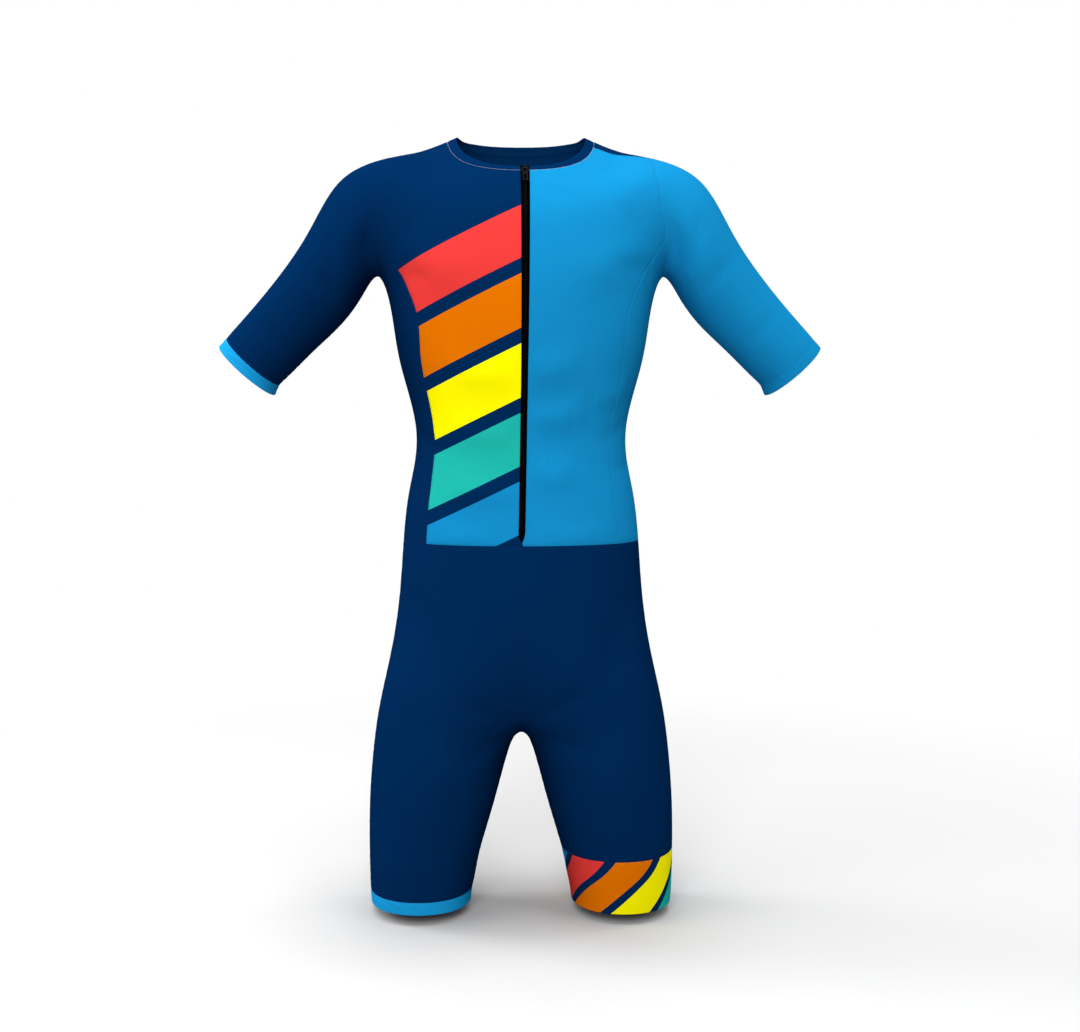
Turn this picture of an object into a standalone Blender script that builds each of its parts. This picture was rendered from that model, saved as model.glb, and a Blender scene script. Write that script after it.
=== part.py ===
"""Cycling skinsuit: short sleeves, a front zip from neck to waist and legs to just above the knee.

The suit is one smooth surface, given by short tables of sections in millimetres. A coarse cage is
solved so that its subdivision surface passes through the section points, and the surface is then
cut along its seams. Each cut piece is a wall of cloth with its own thickness.

Axes: +Z up, the chest faces -Y and the wearer's left side is at +X. The origin lies midway
between the two points where the neckline meets the shoulders.
"""

import math
from collections import namedtuple

import bmesh
import bpy
import numpy as np
from mathutils import Matrix, Vector

MM = 0.001

# Cloth and seams
CLOTH_THICKNESS = 1.2 * MM
SEAM_GAP = 0.3 * MM
SURFACE_LEVELS = 1
CAGE_ROUNDS = 60
# Points this close to the middle of the suit, in millimetres, are on it
CENTRE_REACH = 0.001

# Neckline: half of a squarish oval in plan, sloping down to the front and a little to the back
NECK_HALF_WIDTH = 73.5
NECK_SHOULDER_Y = 15.0
NECK_FRONT_REACH = 70.0
NECK_BACK_REACH = 55.0
NECK_FRONT_DROP = 47.0
NECK_BACK_DROP = 2.5
NECK_SQUARENESS = 2.3
NECK_BAND_WIDTH = 11.0
NECK_COLUMN_DEGREES = (0, 17, 34, 55, 78, 97, 116, 133, 149, 165, 180)

# Slope below level at which the cloth leaves the neckline, and where the yoke ring lies
YOKE_SLOPE_FRONT = 30.0
YOKE_SLOPE_SHOULDER = 26.0
YOKE_SLOPE_BACK = 62.0
YOKE_RING_SHARE = 0.55
YOKE_REACH_SHARE = 0.52

# Body columns, named from the front centre over the side to the back centre. The side panel lies
# between its front and back seams, and each section says at what angle those are.
BODY_COLUMNS = (0, 1, 2, 3, "s1", "s2", "s3", 7, 8, 9, 10)
FRONT_CENTRE, FRONT_SEAM, OUTSEAM, BACK_SEAM, BACK_CENTRE = 0, 3, "s2", 7, 10
SHOULDER_SEAM = 4
STEPS_TO_SEAM = 3

BodySection = namedtuple(
    "BodySection", "name z half_width front_y back_y squareness front_seam back_seam"
)
BODY_SECTIONS = (
    BodySection("chest", -200, 147.8, -116, 110, 2.30, 50, 127),
    BodySection("ribs", -262, 137.2, -110, 103, 2.30, 51, 127),
    BodySection("waist", -336, 120.0, -99, 92, 2.25, 52, 126),
    BodySection("belly", -400, 127.3, -100, 95, 2.20, 51, 126),
    BodySection("waist_seam", -461, 135.0, -102, 104, 2.20, 50, 126),
    BodySection("hip", -555, 143.6, -103, 118, 2.20, 52, 127),
    BodySection("seat", -640, 161.0, -97, 112, 2.60, 53, 127),
)

# Chest and shoulder-blade rows between the yoke and the armpit, one row for each body column
ChestPoint = namedtuple("ChestPoint", "row column x y z")
CHEST_POINTS = (
    ChestPoint(3, 0, 0, -103, -100),
    ChestPoint(3, 1, 50, -99, -96),
    ChestPoint(3, 2, 101, -79, -82),
    ChestPoint(3, 8, 104, 86, -76),
    ChestPoint(3, 9, 54, 99, -86),
    ChestPoint(3, 10, 0, 102, -90),
    ChestPoint(4, 0, 0, -112, -133),
    ChestPoint(4, 1, 52, -109, -130),
    ChestPoint(4, 2, 104, -91, -120),
    ChestPoint(4, 8, 105, 97, -118),
    ChestPoint(4, 9, 55, 107, -127),
    ChestPoint(4, 10, 0, 109, -130),
    ChestPoint(5, 0, 0, -116, -165),
    ChestPoint(5, 1, 52, -113, -163),
    ChestPoint(5, 2, 103, -97, -157),
    ChestPoint(5, 8, 104, 100, -158),
    ChestPoint(5, 9, 55, 110, -164),
    ChestPoint(5, 10, 0, 112, -166),
)

# Sleeve sections, each through a point on the outer line and one on the underarm line
SleeveSection = namedtuple("SleeveSection", "name outer_x outer_z under_x under_z middle_y depth")
SLEEVE_SECTIONS = (
    SleeveSection("armhole", 142, -27, 163, -161, 5, 126),
    SleeveSection("shoulder_cap", 201, -51.5, 183, -184, 6, 121),
    SleeveSection("upper_arm", 243, -115, 208, -216, 10, 108),
    SleeveSection("mid_arm", 292, -179.5, 239, -245, 15, 95),
    SleeveSection("cuff_seam", 337.5, -229.5, 279.5, -284, 20, 88),
    SleeveSection("cuff_edge", 346.5, -239, 285, -295.5, 21, 87),
)
# Angle round the armhole from its top, over the front, to the underarm and up the back
SLEEVE_COLUMN_DEGREES = (-8, 18, 52, 88, 120, 150, 180, 210, 240, 272, 306, 331)
ARMHOLE_KEYS = (
    (3, 5), (3, 4), (3, 3), (4, 3), (5, 3), (5, "s1"),
    (5, "s2"), (5, "s3"), (5, 7), (4, 7), (3, 7), (3, 6),
)

# Crotch: the points where the front and back rises and the two inseams meet
CROTCH_FRONT = (0, -70, -660)
CROTCH_MIDDLE = (0, 4, -683)
CROTCH_BACK = (0, 80, -656)

LegSection = namedtuple("LegSection", "name z inner_x outer_x front_y back_y")
LEG_SECTIONS = (
    LegSection("thigh", -702, 13, 171, -87, 92),
    LegSection("mid_leg", -762, 30, 175.5, -83, 82),
    LegSection("wide_band", -818, 46.5, 176, -77, 68),
    LegSection("hem_band", -865, 56.5, 175, -71, 60),
    LegSection("hem_edge", -880, 58.5, 174, -69, 58),
)
LEG_SQUARENESS = 2.1
LEG_COLUMNS = ("s2", "s1", 3, 2, 1, 0, "crotch", 10, 9, 8, 7, "s3")

# Rows of the cage, down to the seat
NECK_ROW, BAND_ROW, YOKE_ROW, SHOULDER_ROW, CHEST_ROW, ARMPIT_ROW = range(6)
FIRST_BODY_ROW = ARMPIT_ROW + 1
BODY_ROW_NAMES = [section.name for section in BODY_SECTIONS]
WAIST_SEAM_ROW = FIRST_BODY_ROW + BODY_ROW_NAMES.index("waist_seam")
SEAT_ROW = FIRST_BODY_ROW + BODY_ROW_NAMES.index("seat")

# Shares of the smooth surface's point at an open edge: its own cage point and each edge neighbour
RIM_OWN_SHARE = 4 / 6
RIM_NEIGHBOUR_SHARE = 1 / 6
# Least divisor where two seams meet in a sharp corner, which bounds how far the corner moves
SHARP_CORNER_LIMIT = 0.5

# Zip: a tape on the seam between the fronts, a little wider at the neck and pointed at its foot
ZIP_WIDTH = 7.2 * MM
ZIP_TOP_WIDTH = 9.4 * MM
ZIP_TAPER = 150.0 * MM
ZIP_THICKNESS = 1.0 * MM
ZIP_TIP_LENGTH = 10.0 * MM
ZIP_TIP_WIDTH = 1.0 * MM
ZIP_FOOT_Z = -456.5 * MM
# How far the zip lies to the wearer's left of the front centre, at its top and at its foot
ZIP_TOP_ASIDE = 3.2 * MM
ZIP_FOOT_ASIDE = -1.0 * MM
ZIP_ASIDE_POWER = 2.2

# Slider, with the bridge that holds the pull tab, placed along the zip from its top
SLIDER_FROM_TOP = 16.0 * MM
SLIDER_SIZE = Vector((8.6, 10.0, 2.4)) * MM
SLIDER_EDGE = 0.7 * MM
BRIDGE_SIZE = Vector((3.0, 7.0, 4.0)) * MM
BRIDGE_HOLE = Vector((6.0, 3.4, 1.8)) * MM
BRIDGE_HOLE_RISE = 0.1 * MM

# Pull tab: a plate with a window at its upper end, whose top bar turns in the bridge
PULL_SIZE = Vector((6.0, 24.0, 1.0)) * MM
PULL_BAR = 1.0 * MM
PULL_WINDOW = Vector((3.8, 4.2, 3.0)) * MM
PULL_END_SLOT = Vector((2.2, 9.0, 3.0)) * MM
PULL_END_MARGIN = 2.4 * MM
PULL_EDGE = 0.25 * MM
PULL_REST_DEGREES = 4.0

Finish = namedtuple("Finish", "colour roughness metallic")
NAVY = Finish((0.0, 0.021, 0.082), 0.72, 0.0)
SKY = Finish((0.008, 0.240, 0.515), 0.70, 0.0)
BLACK = Finish((0.004, 0.004, 0.005), 0.45, 0.0)

COLLECTION = "cycling_skinsuit"


def clear_scene():
    """Remove every object that the new file starts with."""
    for obj in list(bpy.data.objects):
        bpy.data.objects.remove(obj, do_unlink=True)


def new_collection(name):
    """A collection under the scene's own."""
    collection = bpy.data.collections.new(name)
    bpy.context.scene.collection.children.link(collection)
    return collection


def new_material(name, finish):
    """A Principled material in the finish's colour."""
    material = bpy.data.materials.new(name)
    material.use_nodes = True
    shader = material.node_tree.nodes["Principled BSDF"]
    shader.inputs["Base Color"].default_value = (*finish.colour, 1.0)
    shader.inputs["Roughness"].default_value = finish.roughness
    shader.inputs["Metallic"].default_value = finish.metallic
    material.diffuse_color = (*finish.colour, 1.0)
    return material


def new_object(name, mesh, collection, finish):
    """A named object with its own material."""
    obj = bpy.data.objects.new(name, mesh)
    mesh.materials.clear()
    mesh.materials.append(new_material(name, finish))
    collection.objects.link(obj)
    return obj


def squarish(degrees, squareness):
    """Sine and cosine of an angle on an oval that is squarer than an ellipse above 2."""
    power = 2.0 / squareness
    sine = math.sin(math.radians(degrees))
    cosine = math.cos(math.radians(degrees))
    return (
        math.copysign(abs(sine) ** power, sine),
        math.copysign(abs(cosine) ** power, cosine),
    )


def neck_point(column):
    """A point of the neckline."""
    across, along = squarish(NECK_COLUMN_DEGREES[column], NECK_SQUARENESS)
    x = NECK_HALF_WIDTH * across
    if along >= 0:
        return Vector((x, NECK_SHOULDER_Y - NECK_FRONT_REACH * along, -NECK_FRONT_DROP * along))
    return Vector((x, NECK_SHOULDER_Y - NECK_BACK_REACH * along, NECK_BACK_DROP * along))


def yoke_slope(column):
    """How steeply the cloth leaves the neckline at a column, in radians."""
    along = math.cos(math.radians(NECK_COLUMN_DEGREES[column]))
    end = YOKE_SLOPE_FRONT if along > 0 else YOKE_SLOPE_BACK
    share = along * along
    return math.radians(end * share + YOKE_SLOPE_SHOULDER * (1 - share))


def yoke_points(column, outer):
    """The neckband's edge and the yoke ring on a curve from the neckline to the outer point."""
    start = neck_point(column)
    away = Vector((outer.x - start.x, outer.y - start.y, 0))
    slope = yoke_slope(column)
    reach = YOKE_REACH_SHARE * (outer - start).length
    leave = away.normalized() * math.cos(slope) + Vector((0, 0, -math.sin(slope)))
    middle = start + leave * reach

    def on_curve(share):
        near = start.lerp(middle, share)
        far = middle.lerp(outer, share)
        return near.lerp(far, share)

    band_share = NECK_BAND_WIDTH / (2 * reach)
    return on_curve(band_share), on_curve(YOKE_RING_SHARE)


def column_degrees(front_seam, back_seam):
    """Angles of the body columns: equal steps from each centre to its seam of the side panel."""
    shares = [step / STEPS_TO_SEAM for step in range(STEPS_TO_SEAM + 1)]
    front = [front_seam * share for share in shares]
    side = [(front_seam + 90) / 2, 90, (90 + back_seam) / 2]
    back = [back_seam + (180 - back_seam) * share for share in shares]
    return front + side + back


def body_ring(section):
    """Half of a body section, from the front centre round the wearer's left to the back."""
    ring = []
    for degrees in column_degrees(section.front_seam, section.back_seam):
        across, along = squarish(degrees, section.squareness)
        reach = -section.front_y if along >= 0 else section.back_y
        ring.append(Vector((section.half_width * across, -reach * along, section.z)))
    return ring


def sleeve_centre(section):
    """The middle of a sleeve section."""
    return Vector((
        (section.outer_x + section.under_x) / 2,
        section.middle_y,
        (section.outer_z + section.under_z) / 2,
    ))


def sleeve_ring(index):
    """A sleeve section, square to the sleeve's run except at the armhole."""
    section = SLEEVE_SECTIONS[index]
    centre = sleeve_centre(section)
    up = Vector((
        (section.outer_x - section.under_x) / 2,
        0,
        (section.outer_z - section.under_z) / 2,
    ))
    forward = Vector((0, -1, 0))
    if index:
        run = centre - sleeve_centre(SLEEVE_SECTIONS[index - 1])
        run -= run.project(up)
        forward = up.cross(run).normalized()
        if forward.y > 0:
            forward = -forward
    ring = []
    for degrees in SLEEVE_COLUMN_DEGREES:
        turn = math.radians(degrees)
        side = forward * (math.sin(turn) * section.depth / 2)
        ring.append(centre + up * math.cos(turn) + side)
    return ring


def leg_ring(section):
    """A leg section, from the outseam over the front to the inseam and round the back."""
    middle_x = (section.inner_x + section.outer_x) / 2
    half_width = (section.outer_x - section.inner_x) / 2
    middle_y = (section.front_y + section.back_y) / 2
    half_depth = (section.back_y - section.front_y) / 2
    ring = []
    for index in range(len(LEG_COLUMNS)):
        turn = 360.0 * index / len(LEG_COLUMNS)
        forward, outward = squarish(turn, LEG_SQUARENESS)
        ring.append(Vector((middle_x + half_width * outward, middle_y - half_depth * forward, section.z)))
    return ring


def half_points():
    """Points of the wearer's left half, keyed by row and column."""
    points = {}
    for row, column, x, y, z in CHEST_POINTS:
        points[row, column] = Vector((x, y, z))
    for index in range(len(SLEEVE_SECTIONS)):
        for number, point in enumerate(sleeve_ring(index)):
            key = ARMHOLE_KEYS[number] if index == 0 else ("sleeve", index, number)
            points[key] = point
    for column in range(len(NECK_COLUMN_DEGREES)):
        points[NECK_ROW, column] = neck_point(column)
        band, yoke = yoke_points(column, points[SHOULDER_ROW, column])
        points[BAND_ROW, column] = band
        points[YOKE_ROW, column] = yoke
    for number, section in enumerate(BODY_SECTIONS):
        for column, point in zip(BODY_COLUMNS, body_ring(section)):
            points[FIRST_BODY_ROW + number, column] = point
    points[SEAT_ROW, FRONT_CENTRE] = Vector(CROTCH_FRONT)
    points[SEAT_ROW, BACK_CENTRE] = Vector(CROTCH_BACK)
    points[SEAT_ROW, "crotch"] = Vector(CROTCH_MIDDLE)
    for number, section in enumerate(LEG_SECTIONS):
        for column, point in zip(LEG_COLUMNS, leg_ring(section)):
            points["leg", number + 1, column] = point
    return points


def strip(mark, upper, lower, closed=False):
    """Quads between two rows of keys, marked with the piece that they belong to."""
    count = len(upper)
    last = count if closed else count - 1
    return [
        (mark, (upper[i], lower[i], lower[(i + 1) % count], upper[(i + 1) % count]))
        for i in range(last)
    ]


def body_strip(mark, row, first, last, columns=BODY_COLUMNS):
    """Quads of a piece below a row, from one column to another."""
    span = columns[columns.index(first):columns.index(last) + 1]
    return strip(mark, [(row, c) for c in span], [(row + 1, c) for c in span])


def yoke_faces():
    """Neckband, fronts and back above the armpit."""
    columns = list(range(len(NECK_COLUMN_DEGREES)))
    faces = body_strip("neck_band", NECK_ROW, FRONT_CENTRE, BACK_CENTRE, columns)
    for row in (BAND_ROW, YOKE_ROW):
        faces += body_strip("front", row, FRONT_CENTRE, SHOULDER_SEAM, columns)
        faces += body_strip("back", row, SHOULDER_SEAM, BACK_CENTRE, columns)
    for row in (SHOULDER_ROW, CHEST_ROW):
        faces += body_strip("front", row, FRONT_CENTRE, FRONT_SEAM)
        faces += body_strip("back", row, BACK_SEAM, BACK_CENTRE)
    return faces


def body_faces():
    """Fronts, side panels and back down to the waist seam, then the shorts to the crotch."""
    faces = []
    for row in range(ARMPIT_ROW, WAIST_SEAM_ROW):
        faces += body_strip("front", row, FRONT_CENTRE, FRONT_SEAM)
        faces += body_strip("side", row, FRONT_SEAM, BACK_SEAM)
        faces += body_strip("back", row, BACK_SEAM, BACK_CENTRE)
    for row in range(WAIST_SEAM_ROW, SEAT_ROW):
        faces += body_strip("short_front", row, FRONT_CENTRE, OUTSEAM)
        faces += body_strip("short_back", row, OUTSEAM, BACK_CENTRE)
    return faces


def sleeve_faces():
    """Sleeve and cuff band."""
    faces = []
    rings = [list(ARMHOLE_KEYS)]
    for index in range(1, len(SLEEVE_SECTIONS)):
        rings.append([("sleeve", index, number) for number in range(len(SLEEVE_COLUMN_DEGREES))])
    for index in range(len(rings) - 1):
        piece = "cuff" if SLEEVE_SECTIONS[index].name == "cuff_seam" else "sleeve"
        faces += strip(piece, rings[index], rings[index + 1], closed=True)
    return faces


def leg_faces():
    """Legs, marked apart below the top of the wide band and below the top of the hem band."""
    rings = [[(SEAT_ROW, column) for column in LEG_COLUMNS]]
    for number in range(len(LEG_SECTIONS)):
        rings.append([("leg", number + 1, column) for column in LEG_COLUMNS])
    inseam = LEG_COLUMNS.index("crotch")
    mark = "short"
    faces = []
    for index in range(len(LEG_SECTIONS)):
        if index and LEG_SECTIONS[index - 1].name.endswith("_band"):
            mark = LEG_SECTIONS[index - 1].name
        upper = rings[index] + rings[index][:1]
        lower = rings[index + 1] + rings[index + 1][:1]
        faces += strip(f"{mark}_front", upper[:inseam + 1], lower[:inseam + 1])
        faces += strip(f"{mark}_back", upper[inseam:], lower[inseam:])
    return faces


def piece_name(mark, side):
    """The cut piece that a marked face belongs to on one side of the suit."""
    if mark in ("neck_band", "back"):
        return mark
    if mark.startswith("hem_band"):
        return f"hem_{side}"
    if mark.startswith("wide_band"):
        end = mark.removeprefix("wide_band_")
        return "hem_left" if side == "left" else f"short_{end}_right"
    return f"{mark}_{side}"


def full_cage():
    """Points, faces and piece names of the whole suit."""
    half = half_points()
    points, index = [], {}
    for side, sign in (("left", 1), ("right", -1)):
        for key, point in half.items():
            on_centre = abs(point.x) < CENTRE_REACH
            if on_centre and side == "right":
                index[side, key] = index["left", key]
                continue
            index[side, key] = len(points)
            points.append((0.0 if on_centre else point.x * sign, point.y, point.z))
    faces, names = [], []
    for mark, keys in yoke_faces() + body_faces() + sleeve_faces() + leg_faces():
        for side in ("left", "right"):
            corners = [index[side, key] for key in keys]
            if side == "right":
                corners.reverse()
            faces.append(corners)
            names.append(piece_name(mark, side))
    return np.array(points) * MM, faces, names


def limit_matrix(count, faces):
    """The matrix that takes cage points to their places on the smooth surface.

    An inner point with n edges lies at (n * n * itself + 4 * the sum of its edge neighbours
    + the sum of the corners across its faces) / (n * (n + 5)).
    """
    ring = [set() for _ in range(count)]
    across = [[] for _ in range(count)]
    uses = {}
    for corners in faces:
        size = len(corners)
        for i, point in enumerate(corners):
            after = corners[(i + 1) % size]
            ring[point].add(after)
            ring[after].add(point)
            across[point].append(corners[(i + 2) % size])
            edge = (min(point, after), max(point, after))
            uses[edge] = uses.get(edge, 0) + 1
    rim = {}
    for (a, b), number in uses.items():
        if number == 1:
            rim.setdefault(a, []).append(b)
            rim.setdefault(b, []).append(a)
    matrix = np.zeros((count, count))
    for point in range(count):
        if point in rim:
            matrix[point, point] = RIM_OWN_SHARE
            for other in rim[point]:
                matrix[point, other] += RIM_NEIGHBOUR_SHARE
            continue
        valence = len(ring[point])
        whole = valence * (valence + 5)
        matrix[point, point] = valence * valence / whole
        for other in ring[point]:
            matrix[point, other] += 4 / whole
        for other in across[point]:
            matrix[point, other] += 1 / whole
    return matrix


def solved_cage(points, faces):
    """Cage points whose smooth surface passes through the given points."""
    matrix = limit_matrix(len(points), faces)
    cage = points.copy()
    for _ in range(CAGE_ROUNDS):
        cage += points - matrix @ cage
    return cage


def turn_faces_out(mesh):
    """Make every face of the open surface point away from the wearer."""
    bm = bmesh.new()
    bm.from_mesh(mesh)
    bmesh.ops.recalc_face_normals(bm, faces=bm.faces[:])
    foremost = min(bm.faces, key=lambda face: face.calc_center_median().y)
    if foremost.normal.y > 0:
        bmesh.ops.reverse_faces(bm, faces=bm.faces[:])
    bm.to_mesh(mesh)
    bm.free()


def suit_surface():
    """The smooth suit as one open mesh, and the piece name of each of its faces."""
    points, faces, names = full_cage()
    cage = solved_cage(points, faces)
    mesh = bpy.data.meshes.new("surface")
    mesh.from_pydata([tuple(p) for p in cage], [], faces)
    pieces = sorted(set(names))
    for piece in pieces:
        mesh.materials.append(bpy.data.materials.new(f"mark_{piece}"))
    for polygon, name in zip(mesh.polygons, names):
        polygon.material_index = pieces.index(name)
    guide = bpy.data.objects.new("surface", mesh)
    bpy.context.scene.collection.objects.link(guide)
    turn_faces_out(mesh)
    smooth = guide.modifiers.new("smooth", "SUBSURF")
    smooth.levels = SURFACE_LEVELS
    smooth.render_levels = SURFACE_LEVELS
    evaluated = guide.evaluated_get(bpy.context.evaluated_depsgraph_get())
    surface = bpy.data.meshes.new_from_object(evaluated)
    bpy.data.objects.remove(guide, do_unlink=True)
    marks = [pieces[polygon.material_index] for polygon in surface.polygons]
    return surface, marks


def pull_back_from_seams(bm, normal_layer, seam_layer):
    """Move the cloth's edge back by half the seam gap wherever another piece joins it."""
    shifts = {}
    for edge in bm.edges:
        if not edge.is_boundary or not edge[seam_layer]:
            continue
        face = edge.link_faces[0]
        middle = face.calc_center_median()
        for vert in edge.verts:
            other = edge.other_vert(vert)
            along = (other.co - vert.co).normalized()
            inward = vert[normal_layer].cross(along)
            if inward.dot(middle - vert.co) < 0:
                inward = -inward
            shifts.setdefault(vert, []).append(inward.normalized())
    for vert, inwards in shifts.items():
        total = sum(inwards, Vector())
        if len(inwards) == 2:
            total /= max(SHARP_CORNER_LIMIT, 1 + inwards[0].dot(inwards[1]))
        vert.co += total * (SEAM_GAP / 2)


def cut_piece(surface, marks, name):
    """The wall of cloth of one piece, between the surface and its inner side."""
    bm = bmesh.new()
    bm.from_mesh(surface)
    bm.faces.ensure_lookup_table()
    normal_layer = bm.verts.layers.float_vector.new("shared_normal")
    seam_layer = bm.edges.layers.int.new("seam")
    for vert in bm.verts:
        vert[normal_layer] = vert.normal
    for edge in bm.edges:
        edge[seam_layer] = 0 if edge.is_boundary else 1
    others = [face for face, mark in zip(bm.faces, marks) if mark != name]
    bmesh.ops.delete(bm, geom=others, context="FACES")
    if name == "neck_band":
        centre = [
            edge for edge in bm.edges
            if all(abs(v.co.x) < CENTRE_REACH * MM and v.co.y < 0 for v in edge.verts)
        ]
        bmesh.ops.split_edges(bm, edges=centre)
    pull_back_from_seams(bm, normal_layer, seam_layer)
    grown = bmesh.ops.extrude_face_region(bm, geom=bm.faces[:], use_keep_orig=True)
    for item in grown["geom"]:
        if isinstance(item, bmesh.types.BMVert):
            item.co -= item[normal_layer] * CLOTH_THICKNESS
    bmesh.ops.recalc_face_normals(bm, faces=bm.faces[:])
    mesh = bpy.data.meshes.new(name)
    bm.to_mesh(mesh)
    bm.free()
    mesh.shade_smooth()
    return mesh


def front_centre_line(surface):
    """Points and outward normals down the front centre, from the neck edge to the zip's foot."""
    line = [
        (vert.co.copy(), vert.normal.copy())
        for vert in surface.vertices
        if abs(vert.co.x) < CENTRE_REACH * MM and vert.co.y < 0
    ]
    line.sort(key=lambda pair: -pair[0].z)
    kept = []
    for point, normal in line:
        if point.z < ZIP_FOOT_Z:
            above, above_normal = kept[-1]
            share = (above.z - ZIP_FOOT_Z) / (above.z - point.z)
            kept.append((above.lerp(point, share), above_normal.lerp(normal, share).normalized()))
            break
        kept.append((point, normal))
    return kept


def place_on_line(line, distance):
    """Point and normal at a distance along the line."""
    for (start, start_normal), (end, end_normal) in zip(line, line[1:]):
        length = (end - start).length
        if distance <= length:
            share = distance / length
            return start.lerp(end, share), start_normal.lerp(end_normal, share).normalized()
        distance -= length
    return line[-1]


def line_length(line):
    """Length of the line."""
    return sum((b[0] - a[0]).length for a, b in zip(line, line[1:]))


def zip_aside(share):
    """How far the zip lies from the front centre, at a share of its length from the top."""
    return ZIP_TOP_ASIDE + (ZIP_FOOT_ASIDE - ZIP_TOP_ASIDE) * share**ZIP_ASIDE_POWER


def zip_tape(line, collection):
    """The tape, laid on the fronts from the line's own points and moved out by the seam gap."""
    total = line_length(line)
    shoulder = total - ZIP_TIP_LENGTH
    corners = [0.0]
    for start, end in zip(line, line[1:]):
        corners.append(corners[-1] + (end[0] - start[0]).length)
    stations = sorted({d for d in corners if d < shoulder} | {shoulder, total})
    verts, faces = [], []
    for distance in stations:
        point, normal = place_on_line(line, distance)
        taper = max(0.0, 1 - distance / ZIP_TAPER)
        width = ZIP_WIDTH + (ZIP_TOP_WIDTH - ZIP_WIDTH) * taper
        if distance == total:
            width = ZIP_TIP_WIDTH
        lifted = point + normal * SEAM_GAP + Vector((zip_aside(distance / total), 0, 0))
        verts += [lifted - Vector((width / 2, 0, 0)), lifted + Vector((width / 2, 0, 0))]
    for i in range(len(stations) - 1):
        faces.append((2 * i, 2 * i + 2, 2 * i + 3, 2 * i + 1))
    mesh = bpy.data.meshes.new("zip_tape")
    mesh.from_pydata(verts, [], faces)
    obj = new_object("zip_tape", mesh, collection, BLACK)
    wall = obj.modifiers.new("wall", "SOLIDIFY")
    wall.thickness = ZIP_THICKNESS
    wall.offset = 1.0
    return obj


def block(name, size, centre, collection, finish=None):
    """A box of a size, centred on a point of its own frame."""
    bm = bmesh.new()
    bmesh.ops.create_cube(bm, size=1.0)
    bmesh.ops.scale(bm, vec=size, verts=bm.verts)
    bmesh.ops.translate(bm, vec=centre, verts=bm.verts)
    mesh = bpy.data.meshes.new(name)
    bm.to_mesh(mesh)
    bm.free()
    if finish:
        return new_object(name, mesh, collection, finish)
    obj = bpy.data.objects.new(name, mesh)
    obj.hide_render = True
    obj.display_type = "WIRE"
    collection.objects.link(obj)
    return obj


def combine(obj, tool, operation):
    """Join or cut an object with a tool that moves with it."""
    tool.matrix_world = obj.matrix_world
    change = obj.modifiers.new(f"{operation.lower()}_{tool.name}", "BOOLEAN")
    change.operation = operation
    change.object = tool
    change.solver = "EXACT"


def soften(obj, width):
    """Rounded edges."""
    bevel = obj.modifiers.new("soft_edges", "BEVEL")
    bevel.width = width
    bevel.segments = 2
    bevel.limit_method = "ANGLE"


def zip_frame(line):
    """The slider's own frame: X across the zip, Y down along it and Z away from the cloth."""
    point, _ = place_on_line(line, SLIDER_FROM_TOP)
    before, _ = place_on_line(line, SLIDER_FROM_TOP - SLIDER_SIZE.y / 2)
    after, _ = place_on_line(line, SLIDER_FROM_TOP + SLIDER_SIZE.y / 2)
    across = Vector((1, 0, 0))
    along = (after - before).normalized()
    outward = along.cross(across)
    rise = 2 * SEAM_GAP + ZIP_THICKNESS + SLIDER_SIZE.z / 2
    turn = Matrix((across, along, outward)).transposed()
    aside = across * zip_aside(SLIDER_FROM_TOP / line_length(line))
    return Matrix.Translation(point + outward * rise + aside) @ turn.to_4x4()


def zip_slider(frame, collection, cutters):
    """The slider and its bridge as one solid."""
    slider = block("zip_slider", SLIDER_SIZE, Vector(), collection, BLACK)
    slider.matrix_world = frame
    soften(slider, SLIDER_EDGE)
    top = SLIDER_SIZE.z / 2
    bridge_centre = Vector((0, 0, BRIDGE_SIZE.z / 2))
    combine(slider, block("bridge", BRIDGE_SIZE, bridge_centre, cutters), "UNION")
    hole_centre = Vector((0, 0, top + BRIDGE_HOLE_RISE + BRIDGE_HOLE.z / 2))
    combine(slider, block("bridge_hole", BRIDGE_HOLE, hole_centre, cutters), "DIFFERENCE")
    return hole_centre


def zip_pull(frame, axis_centre, collection, cutters):
    """The pull tab, with its origin on the axis that it turns on."""
    tilt = Matrix.Rotation(math.radians(-PULL_REST_DEGREES), 4, "X")
    plate_centre = Vector((0, PULL_SIZE.y / 2 - PULL_BAR / 2, 0))
    pull = block("zip_pull", PULL_SIZE, plate_centre, collection, BLACK)
    pull.matrix_world = frame @ Matrix.Translation(axis_centre) @ tilt
    window_centre = Vector((0, PULL_BAR / 2 + PULL_WINDOW.y / 2, 0))
    combine(pull, block("pull_window", PULL_WINDOW, window_centre, cutters), "DIFFERENCE")
    end = PULL_SIZE.y - PULL_BAR / 2 - PULL_END_MARGIN
    slot_centre = Vector((0, end - PULL_END_SLOT.y / 2, 0))
    combine(pull, block("pull_slot", PULL_END_SLOT, slot_centre, cutters), "DIFFERENCE")
    soften(pull, PULL_EDGE)


PIECE_FINISH = {
    "neck_band": NAVY,
    "front_right": NAVY,
    "front_left": SKY,
    "side_right": NAVY,
    "side_left": SKY,
    "back": NAVY,
    "sleeve_right": NAVY,
    "sleeve_left": SKY,
    "cuff_right": SKY,
    "cuff_left": SKY,
    "short_front_right": NAVY,
    "short_front_left": NAVY,
    "short_back_right": NAVY,
    "short_back_left": NAVY,
    "hem_right": SKY,
    "hem_left": NAVY,
}


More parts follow.
